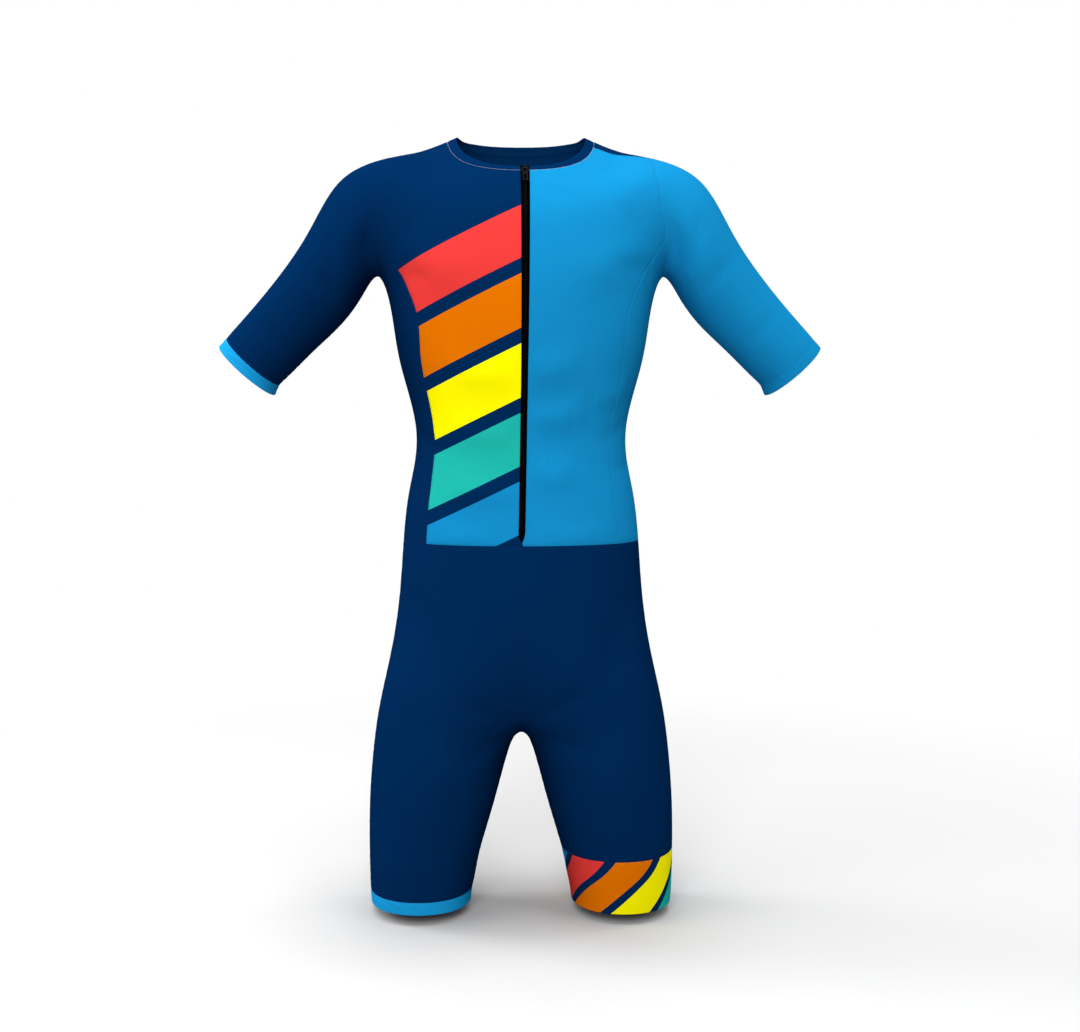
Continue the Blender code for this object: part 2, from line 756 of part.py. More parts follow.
def main():
    """Build every piece of the suit."""
    clear_scene()
    collection = new_collection(COLLECTION)
    cutters = new_collection("cutters")
    surface, marks = suit_surface()
    for name, finish in PIECE_FINISH.items():
        new_object(name, cut_piece(surface, marks, name), collection, finish)
    line = front_centre_line(surface)
    zip_tape(line, collection)
    frame = zip_frame(line)
    axis_centre = zip_slider(frame, collection, cutters)
    zip_pull(frame, axis_centre, collection, cutters)


main()
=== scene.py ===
"""Looks of a cycling skinsuit: knit panels, gripper bands, flat seams and a front zip.

The suit's surface comes from the same short tables of sections as its solids, but finer, with the
soft folds of worn knit on it. It is cut along its seams into thin shells, sewn with stitches and
closed by a coil zip. Axes: +Z up, the chest faces -Y and the wearer's left side is at +X.
"""

from __future__ import annotations
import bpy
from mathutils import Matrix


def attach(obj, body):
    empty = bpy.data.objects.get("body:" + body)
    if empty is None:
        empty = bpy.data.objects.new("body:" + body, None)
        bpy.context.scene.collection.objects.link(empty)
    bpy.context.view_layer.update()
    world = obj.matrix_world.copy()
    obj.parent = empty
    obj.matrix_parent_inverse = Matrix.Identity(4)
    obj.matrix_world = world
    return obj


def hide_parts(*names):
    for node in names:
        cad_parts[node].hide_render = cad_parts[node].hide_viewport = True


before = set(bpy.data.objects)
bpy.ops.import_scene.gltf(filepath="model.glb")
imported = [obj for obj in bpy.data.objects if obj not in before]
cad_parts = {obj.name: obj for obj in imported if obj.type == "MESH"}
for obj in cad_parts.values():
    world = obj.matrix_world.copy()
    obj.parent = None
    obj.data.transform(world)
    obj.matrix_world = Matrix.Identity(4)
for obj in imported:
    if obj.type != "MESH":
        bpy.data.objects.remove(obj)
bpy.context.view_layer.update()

import logging
import math
from collections.abc import Callable, Iterable, Sequence
from dataclasses import dataclass, field
from enum import Enum
from typing import NamedTuple

import bmesh
import bpy
import numpy as np
from mathutils import Vector
from mathutils.kdtree import KDTree

MM = 0.001
CENTRE_REACH = 0.01 * MM
SUIT_BODY = "suit"
log = logging.getLogger("skinsuit")

MIX_COLOUR_A, MIX_COLOUR_B, MIX_COLOUR_OUT = 6, 7, 2
TREE_INPUTS = {
    "Geometry": "Geometry", "Pitch": "Float", "Thread Radius": "Float", "Lift": "Float",
    "Seed": "Int", "Thread": "Material",
}

Colour = tuple[float, float, float]
Inputs = dict[str | int, object] | None
Key = tuple
Points = np.ndarray


def linked(name: str, data: bpy.types.ID) -> bpy.types.Object:
    """A new object in the scene."""
    obj = bpy.data.objects.new(name, data)
    bpy.context.scene.collection.objects.link(obj)
    return obj


def search_tree(points: Points) -> KDTree:
    """A search tree of points, numbered in turn."""
    tree = KDTree(len(points))
    for number, point in enumerate(points):
        tree.insert(point, number)
    tree.balance()
    return tree


# ------------------------------------------------------------------ sections of the suit, in mm


class BodySection(NamedTuple):
    """A level section of the body, with the angles of its two side-panel seams."""

    name: str
    z: float
    half_width: float
    front_y: float
    back_y: float
    squareness: float
    front_seam: float
    back_seam: float


class ChestPoint(NamedTuple):
    """A point of the chest or the shoulder blades, above the armpit."""

    row: int
    column: int
    x: float
    y: float
    z: float


class SleeveSection(NamedTuple):
    """A section of the left sleeve, through its outer line and its underarm line."""

    name: str
    outer_x: float
    outer_z: float
    under_x: float
    under_z: float
    middle_y: float
    depth: float


class LegSection(NamedTuple):
    """A level section of the left leg."""

    name: str
    z: float
    inner_x: float
    outer_x: float
    front_y: float
    back_y: float


BODY_SECTIONS = (
    BodySection("chest", -200, 147.8, -116, 110, 2.30, 50, 127),
    BodySection("ribs", -262, 137.2, -110, 103, 2.30, 51, 127),
    BodySection("waist", -336, 120.0, -99, 92, 2.25, 52, 126),
    BodySection("belly", -400, 127.3, -100, 95, 2.20, 51, 126),
    BodySection("waist_seam", -461, 135.0, -102, 104, 2.20, 50, 126),
    BodySection("hip", -555, 143.6, -103, 118, 2.20, 52, 127),
    BodySection("seat", -640, 161.0, -97, 112, 2.60, 53, 127),
)
# The two rows that aren't named are the rings of the yoke
NECK_ROW, BAND_ROW, SHOULDER_ROW, CHEST_ROW, ARMPIT_ROW = 0, 1, 4, 5, 6
CHEST_POINTS = (
    ChestPoint(SHOULDER_ROW, 0, 0, -103, -100),
    ChestPoint(SHOULDER_ROW, 1, 50, -99, -96),
    ChestPoint(SHOULDER_ROW, 2, 101, -79, -82),
    ChestPoint(SHOULDER_ROW, 8, 104, 86, -76),
    ChestPoint(SHOULDER_ROW, 9, 54, 99, -86),
    ChestPoint(SHOULDER_ROW, 10, 0, 102, -90),
    ChestPoint(CHEST_ROW, 0, 0, -112, -133),
    ChestPoint(CHEST_ROW, 1, 52, -109, -130),
    ChestPoint(CHEST_ROW, 2, 104, -91, -120),
    ChestPoint(CHEST_ROW, 8, 105, 97, -118),
    ChestPoint(CHEST_ROW, 9, 55, 107, -127),
    ChestPoint(CHEST_ROW, 10, 0, 109, -130),
    ChestPoint(ARMPIT_ROW, 0, 0, -116, -165),
    ChestPoint(ARMPIT_ROW, 1, 52, -113, -163),
    ChestPoint(ARMPIT_ROW, 2, 103, -97, -157),
    ChestPoint(ARMPIT_ROW, 8, 104, 100, -158),
    ChestPoint(ARMPIT_ROW, 9, 55, 110, -164),
    ChestPoint(ARMPIT_ROW, 10, 0, 112, -166),
)
SLEEVE_SECTIONS = (
    SleeveSection("armhole", 142, -27, 163, -161, 5, 126),
    SleeveSection("shoulder_cap", 201, -51.5, 183, -184, 6, 121),
    SleeveSection("upper_arm", 243, -115, 208, -216, 10, 108),
    SleeveSection("mid_arm", 292, -179.5, 239, -245, 15, 95),
    SleeveSection("above_cuff", 323, -213.8, 266.4, -271.4, 18.4, 90.2),
    SleeveSection("cuff_seam", 337.5, -229.5, 279.5, -284, 20, 88),
    SleeveSection("cuff_edge", 346.5, -239, 285, -295.5, 21, 87),
)
LEG_SECTIONS = (
    LegSection("thigh", -702, 13, 171, -87, 92),
    LegSection("mid_leg", -762, 30, 175.5, -83, 82),
    LegSection("wide_band", -818, 46.5, 176, -77, 68),
    LegSection("above_hem", -847, 52.7, 175.5, -73.3, 63),
    LegSection("hem_band", -865, 56.5, 175, -71, 60),
    LegSection("hem_edge", -880, 58.5, 174, -69, 58),
)
CROTCH_FRONT = (0, -70, -660)
CROTCH_MIDDLE = (0, 4, -683)
CROTCH_BACK = (0, 80, -656)

FIRST_BODY_ROW = ARMPIT_ROW + 1
BODY_ROW_NAMES = [section.name for section in BODY_SECTIONS]
WAIST_SEAM_ROW = FIRST_BODY_ROW + BODY_ROW_NAMES.index("waist_seam")
SEAT_ROW = FIRST_BODY_ROW + BODY_ROW_NAMES.index("seat")
BODY_COLUMNS = (0, 1, 2, 3, "s1", "s2", "s3", 7, 8, 9, 10)
YOKE_COLUMNS = tuple(range(11))
LEG_COLUMNS = ("s2", "s1", 3, 2, 1, 0, "crotch", 10, 9, 8, 7, "s3")
FRONT_CENTRE, FRONT_SEAM, OUTSEAM, BACK_SEAM, BACK_CENTRE = 0, 3, "s2", 7, 10
SHOULDER_SEAM = 4
SLEEVE_COLUMN_DEGREES = (-8, 18, 52, 88, 120, 150, 180, 210, 240, 272, 306, 331)
UNDERARM = SLEEVE_COLUMN_DEGREES.index(180)
ARMHOLE_KEYS = (
    (SHOULDER_ROW, 5), (SHOULDER_ROW, 4), (SHOULDER_ROW, 3), (CHEST_ROW, 3),
    (ARMPIT_ROW, 3), (ARMPIT_ROW, "s1"), (ARMPIT_ROW, "s2"), (ARMPIT_ROW, "s3"), (ARMPIT_ROW, 7),
    (CHEST_ROW, 7), (SHOULDER_ROW, 7), (SHOULDER_ROW, 6),
)


def squarish(degrees: float, squareness: float) -> tuple[float, float]:
    """Sine and cosine of an angle on an oval that is squarer than an ellipse above 2."""
    power = 2.0 / squareness
    sine = math.sin(math.radians(degrees))
    cosine = math.cos(math.radians(degrees))
    return (
        math.copysign(abs(sine) ** power, sine),
        math.copysign(abs(cosine) ** power, cosine),
    )


@dataclass(frozen=True)
class Neckline:
    """The neck opening, half of a squarish oval in plan, and the yoke that leaves it, in mm."""

    half_width: float = 73.5
    shoulder_y: float = 15.0
    front_reach: float = 70.0
    back_reach: float = 55.0
    front_drop: float = 47.0
    back_drop: float = 2.5
    squareness: float = 2.3
    band_width: float = 11.0
    slope_front: float = 30.0
    slope_shoulder: float = 26.0
    slope_back: float = 62.0
    ring_shares: tuple[float, ...] = (0.3, 0.55)
    yoke_reach_share: float = 0.52
    column_degrees: tuple[float, ...] = (0, 17, 34, 55, 78, 97, 116, 133, 149, 165, 180)

    def edge(self, column: int) -> Vector:
        """A point of the neck's edge."""
        across, along = squarish(self.column_degrees[column], self.squareness)
        reach, drop = (
            (self.front_reach, self.front_drop) if along >= 0 else (self.back_reach, -self.back_drop)
        )
        return Vector((self.half_width * across, self.shoulder_y - reach * along, -drop * along))

    def slope(self, column: int) -> float:
        """How steeply the cloth leaves the neckline at a column, in radians."""
        along = math.cos(math.radians(self.column_degrees[column]))
        end = self.slope_front if along > 0 else self.slope_back
        share = along * along
        return math.radians(end * share + self.slope_shoulder * (1 - share))

    def yoke(self, column: int, outer: Vector) -> list[Vector]:
        """Points on a curve from the neck to an outer point.

        Args:
            column: The column of the neckline.
            outer: The point of the shoulder row in the same column.

        Returns:
            The points on the band's lower edge and on each ring of the yoke.
        """
        start = self.edge(column)
        away = Vector((outer.x - start.x, outer.y - start.y, 0))
        slope = self.slope(column)
        reach = self.yoke_reach_share * (outer - start).length
        leave = away.normalized() * math.cos(slope) + Vector((0, 0, -math.sin(slope)))
        middle = start + leave * reach

        def on_curve(share: float) -> Vector:
            """A point of the curve."""
            return start.lerp(middle, share).lerp(middle.lerp(outer, share), share)

        return [on_curve(share) for share in (self.band_width / (2 * reach), *self.ring_shares)]


@dataclass
class CageFace:
    """A quad of the cage: its panel, the keys of its corners and where they lie on the flat knit."""

    panel: str
    keys: tuple[Key, ...]
    flat: tuple[tuple[float, float], ...]


@dataclass
class SuitSurface:
    """The smooth suit as arrays, with a panel for each face and a seam number for each edge."""

    points: Points
    normals: Points
    faces: np.ndarray
    face_panels: np.ndarray
    flat: np.ndarray
    edges: np.ndarray
    edge_seams: np.ndarray
    panels: list[str]
    seams: list[str]


class Anchor(Enum):
    """The end of a row of points from which its length is measured."""

    FIRST = "first"
    LAST = "last"


@dataclass
class SuitForm:
    """The suit's smooth surface, from its sections.

    A cage is solved so that its subdivision surface passes through the section points.
    """

    neckline: Neckline = field(default_factory=Neckline)
    leg_squareness: float = 2.1
    steps_to_seam: int = 3
    levels: int = 4
    cage_rounds: int = 60
    centre_reach: float = 0.001
    rim_own_share: float = 4 / 6
    rim_neighbour_share: float = 1 / 6

    def body_ring(self, section: BodySection) -> list[Vector]:
        """Half of a body section, from the front centre round the left side to the back."""
        shares = [step / self.steps_to_seam for step in range(self.steps_to_seam + 1)]
        angles = [section.front_seam * share for share in shares]
        angles += [(section.front_seam + 90) / 2, 90, (90 + section.back_seam) / 2]
        angles += [section.back_seam + (180 - section.back_seam) * share for share in shares]
        ring = []
        for degrees in angles:
            across, along = squarish(degrees, section.squareness)
            reach = -section.front_y if along >= 0 else section.back_y
            ring.append(Vector((section.half_width * across, -reach * along, section.z)))
        return ring

    @staticmethod
    def sleeve_centre(section: SleeveSection) -> Vector:
        """The middle of a sleeve section."""
        return Vector((
            (section.outer_x + section.under_x) / 2,
            section.middle_y,
            (section.outer_z + section.under_z) / 2,
        ))

    def sleeve_ring(self, index: int) -> list[Vector]:
        """A sleeve section, square to the sleeve's run except at the armhole.

        Args:
            index: Which of the sleeve sections it is.

        Returns:
            A point in each of the sleeve's columns.
        """
        section = SLEEVE_SECTIONS[index]
        centre = self.sleeve_centre(section)
        up = Vector((
            (section.outer_x - section.under_x) / 2,
            0,
            (section.outer_z - section.under_z) / 2,
        ))
        forward = Vector((0, -1, 0))
        if index:
            run = centre - self.sleeve_centre(SLEEVE_SECTIONS[index - 1])
            run -= run.project(up)
            forward = up.cross(run).normalized()
            if forward.y > 0:
                forward = -forward
        ring = []
        for degrees in SLEEVE_COLUMN_DEGREES:
            turn = math.radians(degrees)
            side = forward * (math.sin(turn) * section.depth / 2)
            ring.append(centre + up * math.cos(turn) + side)
        return ring

    def leg_ring(self, section: LegSection) -> list[Vector]:
        """A leg section, from the outseam over the front to the inseam and round the back."""
        middle_x = (section.inner_x + section.outer_x) / 2
        half_width = (section.outer_x - section.inner_x) / 2
        middle_y = (section.front_y + section.back_y) / 2
        half_depth = (section.back_y - section.front_y) / 2
        ring = []
        for index in range(len(LEG_COLUMNS)):
            forward, outward = squarish(360.0 * index / len(LEG_COLUMNS), self.leg_squareness)
            x = middle_x + half_width * outward
            ring.append(Vector((x, middle_y - half_depth * forward, section.z)))
        return ring

    def half_points(self) -> dict[Key, Vector]:
        """Points of the wearer's left half, keyed by row and column."""
        points: dict[Key, Vector] = {}
        for row, column, x, y, z in CHEST_POINTS:
            points[row, column] = Vector((x, y, z))
        for index in range(len(SLEEVE_SECTIONS)):
            for number, point in enumerate(self.sleeve_ring(index)):
                key = ARMHOLE_KEYS[number] if index == 0 else ("sleeve", index, number)
                points[key] = point
        for column in YOKE_COLUMNS:
            points[NECK_ROW, column] = self.neckline.edge(column)
            yoke = self.neckline.yoke(column, points[SHOULDER_ROW, column])
            for row, point in zip(range(BAND_ROW, SHOULDER_ROW), yoke):
                points[row, column] = point
        for number, section in enumerate(BODY_SECTIONS):
            for column, point in zip(BODY_COLUMNS, self.body_ring(section)):
                points[FIRST_BODY_ROW + number, column] = point
        points[SEAT_ROW, FRONT_CENTRE] = Vector(CROTCH_FRONT)
        points[SEAT_ROW, BACK_CENTRE] = Vector(CROTCH_BACK)
        points[SEAT_ROW, "crotch"] = Vector(CROTCH_MIDDLE)
        for number, section in enumerate(LEG_SECTIONS):
            for column, point in zip(LEG_COLUMNS, self.leg_ring(section)):
                points["leg", number + 1, column] = point
        return points

    @staticmethod
    def run_between(points: dict[Key, Vector], upper: Sequence[Key], lower: Sequence[Key]) -> float:
        """Mean distance between two rows of keys."""
        return sum((points[a] - points[b]).length for a, b in zip(upper, lower)) / len(upper)

    @staticmethod
    def lengths_along(points: dict[Key, Vector], keys: Sequence[Key], anchor: Anchor) -> list[float]:
        """Length along a row of keys, measured from one of its ends."""
        lengths = [0.0]
        for start, end in zip(keys, keys[1:]):
            lengths.append(lengths[-1] + (points[end] - points[start]).length)
        if anchor is Anchor.LAST:
            lengths = [length - lengths[-1] for length in lengths]
        return lengths

    def strip(
        self,
        points: dict[Key, Vector],
        panel: str,
        rows: tuple[Sequence[Key], Sequence[Key]],
        runs: tuple[float, float],
        anchor: Anchor = Anchor.FIRST,
    ) -> list[CageFace]:
        """Quads between two rows of keys.

        Args:
            points: The keyed points.
            panel: The panel that the quads belong to.
            rows: The upper and the lower row of keys.
            runs: How far down the suit the two rows lie.
            anchor: The end from which lengths across the knit are measured.

        Returns:
            The quads, with their places on the flat knit in metres.
        """
        upper, lower = rows
        top = self.lengths_along(points, upper, anchor)
        low = self.lengths_along(points, lower, anchor)
        faces = []
        for i in range(len(upper) - 1):
            keys = (upper[i], lower[i], lower[i + 1], upper[i + 1])
            lengths = (top[i], low[i], low[i + 1], top[i + 1])
            downs = (runs[0], runs[1], runs[1], runs[0])
            flat = tuple((u * MM, -v * MM) for u, v in zip(lengths, downs))
            faces.append(CageFace(panel, keys, flat))
        return faces

    def half_faces(self, points: dict[Key, Vector]) -> list[CageFace]:
        """Quads of the wearer's left half.

        Args:
            points: The keyed points.

        Returns:
            The quads, each with its panel.
        """
        runs = [0.0]
        for row in range(SEAT_ROW):
            upper = [(row, column) for column in YOKE_COLUMNS if (row, column) in points]
            shared = [key for key in upper if (row + 1, key[1]) in points]
            runs.append(runs[-1] + self.run_between(points, shared, [(row + 1, c) for _, c in shared]))
        faces: list[CageFace] = []

        def body(panel: str, row: int, first: object, last: object, anchor: Anchor) -> None:
            """Adds a panel's quads below a row, from one column to another."""
            columns = YOKE_COLUMNS if row < SHOULDER_ROW else BODY_COLUMNS
            span = columns[columns.index(first):columns.index(last) + 1]
            rows = ([(row, c) for c in span], [(row + 1, c) for c in span])
            faces.extend(self.strip(points, panel, rows, (runs[row], runs[row + 1]), anchor))

        body("neck_band", NECK_ROW, FRONT_CENTRE, BACK_CENTRE, Anchor.FIRST)
        for row in range(BAND_ROW, WAIST_SEAM_ROW):
            below_yoke = row >= SHOULDER_ROW
            body("front", row, FRONT_CENTRE, FRONT_SEAM if below_yoke else SHOULDER_SEAM, Anchor.FIRST)
            body("back", row, BACK_SEAM if below_yoke else SHOULDER_SEAM, BACK_CENTRE, Anchor.LAST)
            if row >= ARMPIT_ROW:
                body("side", row, FRONT_SEAM, BACK_SEAM, Anchor.FIRST)
        for row in range(WAIST_SEAM_ROW, SEAT_ROW):
            body("short_front", row, FRONT_CENTRE, OUTSEAM, Anchor.FIRST)
            body("short_back", row, OUTSEAM, BACK_CENTRE, Anchor.LAST)
        return faces + self.sleeve_faces(points) + self.leg_faces(points, runs[SEAT_ROW])

    def sleeve_faces(self, points: dict[Key, Vector]) -> list[CageFace]:
        """Quads of the left sleeve and cuff, each row closed at the underarm."""
        count = len(SLEEVE_COLUMN_DEGREES)
        order = [(UNDERARM + step) % count for step in range(count + 1)]
        rings: list[list[Key]] = [[ARMHOLE_KEYS[number] for number in order]]
        for index in range(1, len(SLEEVE_SECTIONS)):
            rings.append([("sleeve", index, number) for number in order])
        faces: list[CageFace] = []
        run = 0.0
        for index, (upper, lower) in enumerate(zip(rings, rings[1:])):
            panel = "cuff" if SLEEVE_SECTIONS[index].name == "cuff_seam" else "sleeve"
            below = run + self.run_between(points, upper, lower)
            faces += self.strip(points, panel, (upper, lower), (run, below))
            run = below
        return faces

    def leg_faces(self, points: dict[Key, Vector], run: float) -> list[CageFace]:
        """Quads of the left leg, marked apart below the wide band's and the hem band's tops.

        Args:
            points: The keyed points.
            run: How far down the suit the leg starts.

        Returns:
            The quads, each with its panel or its mark.
        """
        rings: list[list[Key]] = [[(SEAT_ROW, column) for column in LEG_COLUMNS]]
        for number in range(len(LEG_SECTIONS)):
            rings.append([("leg", number + 1, column) for column in LEG_COLUMNS])
        inseam = LEG_COLUMNS.index("crotch")
        mark = "short"
        faces: list[CageFace] = []
        for index in range(len(LEG_SECTIONS)):
            if index and LEG_SECTIONS[index - 1].name.endswith("_band"):
                mark = LEG_SECTIONS[index - 1].name
            upper, lower = (ring + ring[:1] for ring in rings[index:index + 2])
            runs = (run, run + self.run_between(points, upper, lower))
            run = runs[1]
            if mark == "short":
                front = (upper[:inseam + 1], lower[:inseam + 1])
                back = (upper[inseam:], lower[inseam:])
                faces += self.strip(points, "short_front", front, runs, Anchor.LAST)
                faces += self.strip(points, "short_back", back, runs)
            else:
                from_inseam = tuple(ring[inseam:-1] + ring[:inseam + 1] for ring in (upper, lower))
                faces += self.strip(points, mark, from_inseam, runs)
        return faces

    @staticmethod
    def panel_name(mark: str, side: str, keys: Sequence[Key]) -> str:
        """The panel that a marked face belongs to on one side of the suit."""
        if mark in ("neck_band", "back"):
            return mark
        if mark == "hem_band" or (mark == "wide_band" and side == "left"):
            return f"hem_{side}"
        if mark == "wide_band":
            numbers = [LEG_COLUMNS.index(key[2]) for key in keys]
            in_front = max(numbers) <= LEG_COLUMNS.index("crotch")
            return f"short_{'front' if in_front else 'back'}_{side}"
        return f"{mark}_{side}"

    @staticmethod
    def seam_name(first: str, second: str) -> str:
        """The seam between two panels.

        Args:
            first: A panel.
            second: The panel on the seam's other side.

        Returns:
            The seam's name.
        """
        pair = {first, second}
        side = "left" if any(name.endswith("left") for name in pair) else "right"
        if "neck_band" in pair:
            return "neck"
        if pair == {"front_left", "front_right"}:
            return "zip"
        for stem, seam in (("hem", "hem"), ("cuff", "cuff"), ("sleeve", "armhole")):
            if any(name.startswith(stem) for name in pair):
                return f"{seam}_{side}"
        shorts = [name for name in pair if name.startswith("short")]
        if len(shorts) == 1:
            return "waist"
        if len(shorts) == 2:
            left_and_right = {name.rsplit("_", 1)[1] for name in pair} == {"left", "right"}
            ends = sorted({name.split("_")[1] for name in pair})
            return f"{ends[0]}_rise" if left_and_right else f"leg_{side}"
        if any(name.startswith("side") for name in pair):
            return f"side_{'back' if 'back' in pair else 'front'}_{side}"
        return f"shoulder_{side}"

    def limit_matrix(self, count: int, faces: Sequence[Sequence[int]]) -> np.ndarray:
        """The matrix that takes cage points to their places on the smooth surface.

        An inner point with n edges lies at (n * n * itself + 4 * the sum of its edge neighbours
        + the sum of the corners across its faces) / (n * (n + 5)).

        Args:
            count: How many cage points there are.
            faces: The cage's quads.

        Returns:
            A square matrix.
        """
        ring: list[set[int]] = [set() for _ in range(count)]
        across: list[list[int]] = [[] for _ in range(count)]
        uses: dict[tuple[int, int], int] = {}
        for corners in faces:
            for i, point in enumerate(corners):
                after = corners[(i + 1) % 4]
                ring[point].add(after)
                ring[after].add(point)
                across[point].append(corners[(i + 2) % 4])
                edge = (min(point, after), max(point, after))
                uses[edge] = uses.get(edge, 0) + 1
        rim: dict[int, list[int]] = {}
        for (a, b), number in uses.items():
            if number == 1:
                rim.setdefault(a, []).append(b)
                rim.setdefault(b, []).append(a)
        matrix = np.zeros((count, count))
        for point in range(count):
            if point in rim:
                matrix[point, point] = self.rim_own_share
                for other in rim[point]:
                    matrix[point, other] += self.rim_neighbour_share
                continue
            valence = len(ring[point])
            whole = valence * (valence + 5)
            matrix[point, point] = valence * valence / whole
            for other in ring[point]:
                matrix[point, other] += 4 / whole
            for other in across[point]:
                matrix[point, other] += 1 / whole
        return matrix

    def cage(self) -> tuple[bpy.types.Mesh, list[str], list[str]]:
        """The solved cage of the whole suit.

        Returns:
            The mesh, the panel names behind its material numbers and the seam names behind its
            edges' seam numbers, counted from 1.
        """
        half = self.half_points()
        places: list[tuple[float, float, float]] = []
        index: dict[tuple[str, Key], int] = {}
        for side, sign in (("left", 1), ("right", -1)):
            for key, point in half.items():
                on_centre = abs(point.x) < self.centre_reach
                if on_centre and side == "right":
                    index[side, key] = index["left", key]
                    continue
                index[side, key] = len(places)
                places.append((0.0 if on_centre else point.x * sign, point.y, point.z))
        faces, panels, flats = [], [], []
        for quad in self.half_faces(half):
            for side, sign in (("left", 1), ("right", -1)):
                turn = slice(None) if side == "left" else slice(None, None, -1)
                faces.append([index[side, key] for key in quad.keys][turn])
                flats.append([(u * sign, v) for u, v in quad.flat][turn])
                panels.append(self.panel_name(quad.panel, side, quad.keys))
        points = np.array(places) * MM
        matrix = self.limit_matrix(len(points), faces)
        solved = points.copy()
        for _ in range(self.cage_rounds):
            solved += points - matrix @ solved
        mesh = bpy.data.meshes.new("cage")
        mesh.from_pydata(solved.tolist(), [], faces)
        names = sorted(set(panels))
        for name in names:
            mesh.materials.append(bpy.data.materials.new(f"mark_{name}"))
        mesh.polygons.foreach_set("material_index", [names.index(panel) for panel in panels])
        flat = mesh.uv_layers.new(name="knit")
        flat.data.foreach_set("uv", np.array(flats, np.float32).ravel())
        seams = self.mark_seams(mesh, faces, panels, index)
        return mesh, names, seams

    def mark_seams(
        self,
        mesh: bpy.types.Mesh,
        faces: Sequence[Sequence[int]],
        panels: Sequence[str],
        index: dict[tuple[str, Key], int],
    ) -> list[str]:
        """Numbers the cage's edges that are sewn, from 1.

        Args:
            mesh: The cage.
            faces: Its quads.
            panels: The panel of each quad.
            index: The number of each keyed point, on each side.

        Returns:
            The seams' names, in the order of their numbers.
        """
        sides: dict[frozenset, list[str]] = {}
        for corners, panel in zip(faces, panels):
            for i, corner in enumerate(corners):
                sides.setdefault(frozenset((corner, corners[(i + 1) % 4])), []).append(panel)
        named = {
            edge: self.seam_name(*pair)
            for edge, pair in sides.items() if len(pair) == 2 and pair[0] != pair[1]
        }
        band_top, band_foot = (NECK_ROW, FRONT_CENTRE), (BAND_ROW, FRONT_CENTRE)
        named[frozenset((index["left", band_top], index["left", band_foot]))] = "zip"
        last_sleeve_row = len(SLEEVE_SECTIONS) - 1
        for side in ("left", "right"):
            line: list[Key] = [ARMHOLE_KEYS[UNDERARM]]
            line += [("sleeve", row, UNDERARM) for row in range(1, last_sleeve_row)]
            for start, end in zip(line, line[1:]):
                edge = frozenset((index[side, start], index[side, end]))
                named[edge] = f"underarm_{side}"
        seams = sorted(set(named.values()))
        numbers = mesh.attributes.new("seam", "INT", "EDGE")
        for edge in mesh.edges:
            name = named.get(frozenset(edge.vertices))
            numbers.data[edge.index].value = seams.index(name) + 1 if name else 0
        return seams

    def build(self) -> SuitSurface:
        """The smooth surface as arrays."""
        mesh, panels, seams = self.cage()
        bm = bmesh.new()
        bm.from_mesh(mesh)
        bmesh.ops.recalc_face_normals(bm, faces=bm.faces[:])
        foremost = min(bm.faces, key=lambda face: face.calc_center_median().y)
        if foremost.normal.y > 0:
            bmesh.ops.reverse_faces(bm, faces=bm.faces[:])
        bm.to_mesh(mesh)
        bm.free()
        guide = linked("cage", mesh)
        smooth = guide.modifiers.new("smooth", "SUBSURF")
        smooth.levels = self.levels
        smooth.render_levels = self.levels
        evaluated = guide.evaluated_get(bpy.context.evaluated_depsgraph_get())
        fine = bpy.data.meshes.new_from_object(evaluated)
        bpy.data.objects.remove(guide, do_unlink=True)
        points = read(fine.vertices, "co", 3, np.float32)
        faces = read(fine.loops, "vertex_index").reshape(-1, 4)
        surface = SuitSurface(
            points=points,
            normals=vertex_normals(points, faces),
            faces=faces,
            face_panels=read(fine.polygons, "material_index"),
            flat=read(fine.uv_layers["knit"].data, "uv", 2, np.float32),
            edges=read(fine.edges, "vertices", 2),
            edge_seams=read(fine.attributes["seam"].data, "value"),
            panels=panels,
            seams=seams,
        )
        bpy.data.meshes.remove(fine)
        return surface


def read(
    items: bpy.types.bpy_prop_collection, name: str, each: int = 1, kind: type = np.int32
) -> np.ndarray:
    """A property of every item.

    Args:
        items: The collection, such as a mesh's vertices.
        name: The property.
        each: How many numbers it has.
        kind: Their type.

    Returns:
        A row for each item, or one row in all where an item has a single number.
    """
    values = np.empty(len(items) * each, kind)
    items.foreach_get(name, values)
    rows = values.reshape(-1, each) if each > 1 else values
    return rows.astype(float) if kind is np.float32 else rows


def vertex_normals(points: Points, faces: np.ndarray) -> Points:
    """Outward unit normals of a quad mesh at its points."""
    corners = points[faces]
    turned = np.cross(corners[:, 2] - corners[:, 0], corners[:, 3] - corners[:, 1])
    summed = np.zeros_like(points)
    for corner in range(4):
        np.add.at(summed, faces[:, corner], turned)
    return summed / np.linalg.norm(summed, axis=1, keepdims=True)


# ------------------------------------------------------------------ folds and seams in the cloth


class Fold(NamedTuple):
    """A soft fold along a bowed line, in mm. A positive height is a ridge, a negative one a trough."""

    start: tuple[float, float, float]
    middle: tuple[float, float, float]
    end: tuple[float, float, float]
    half_width: float
    height: float


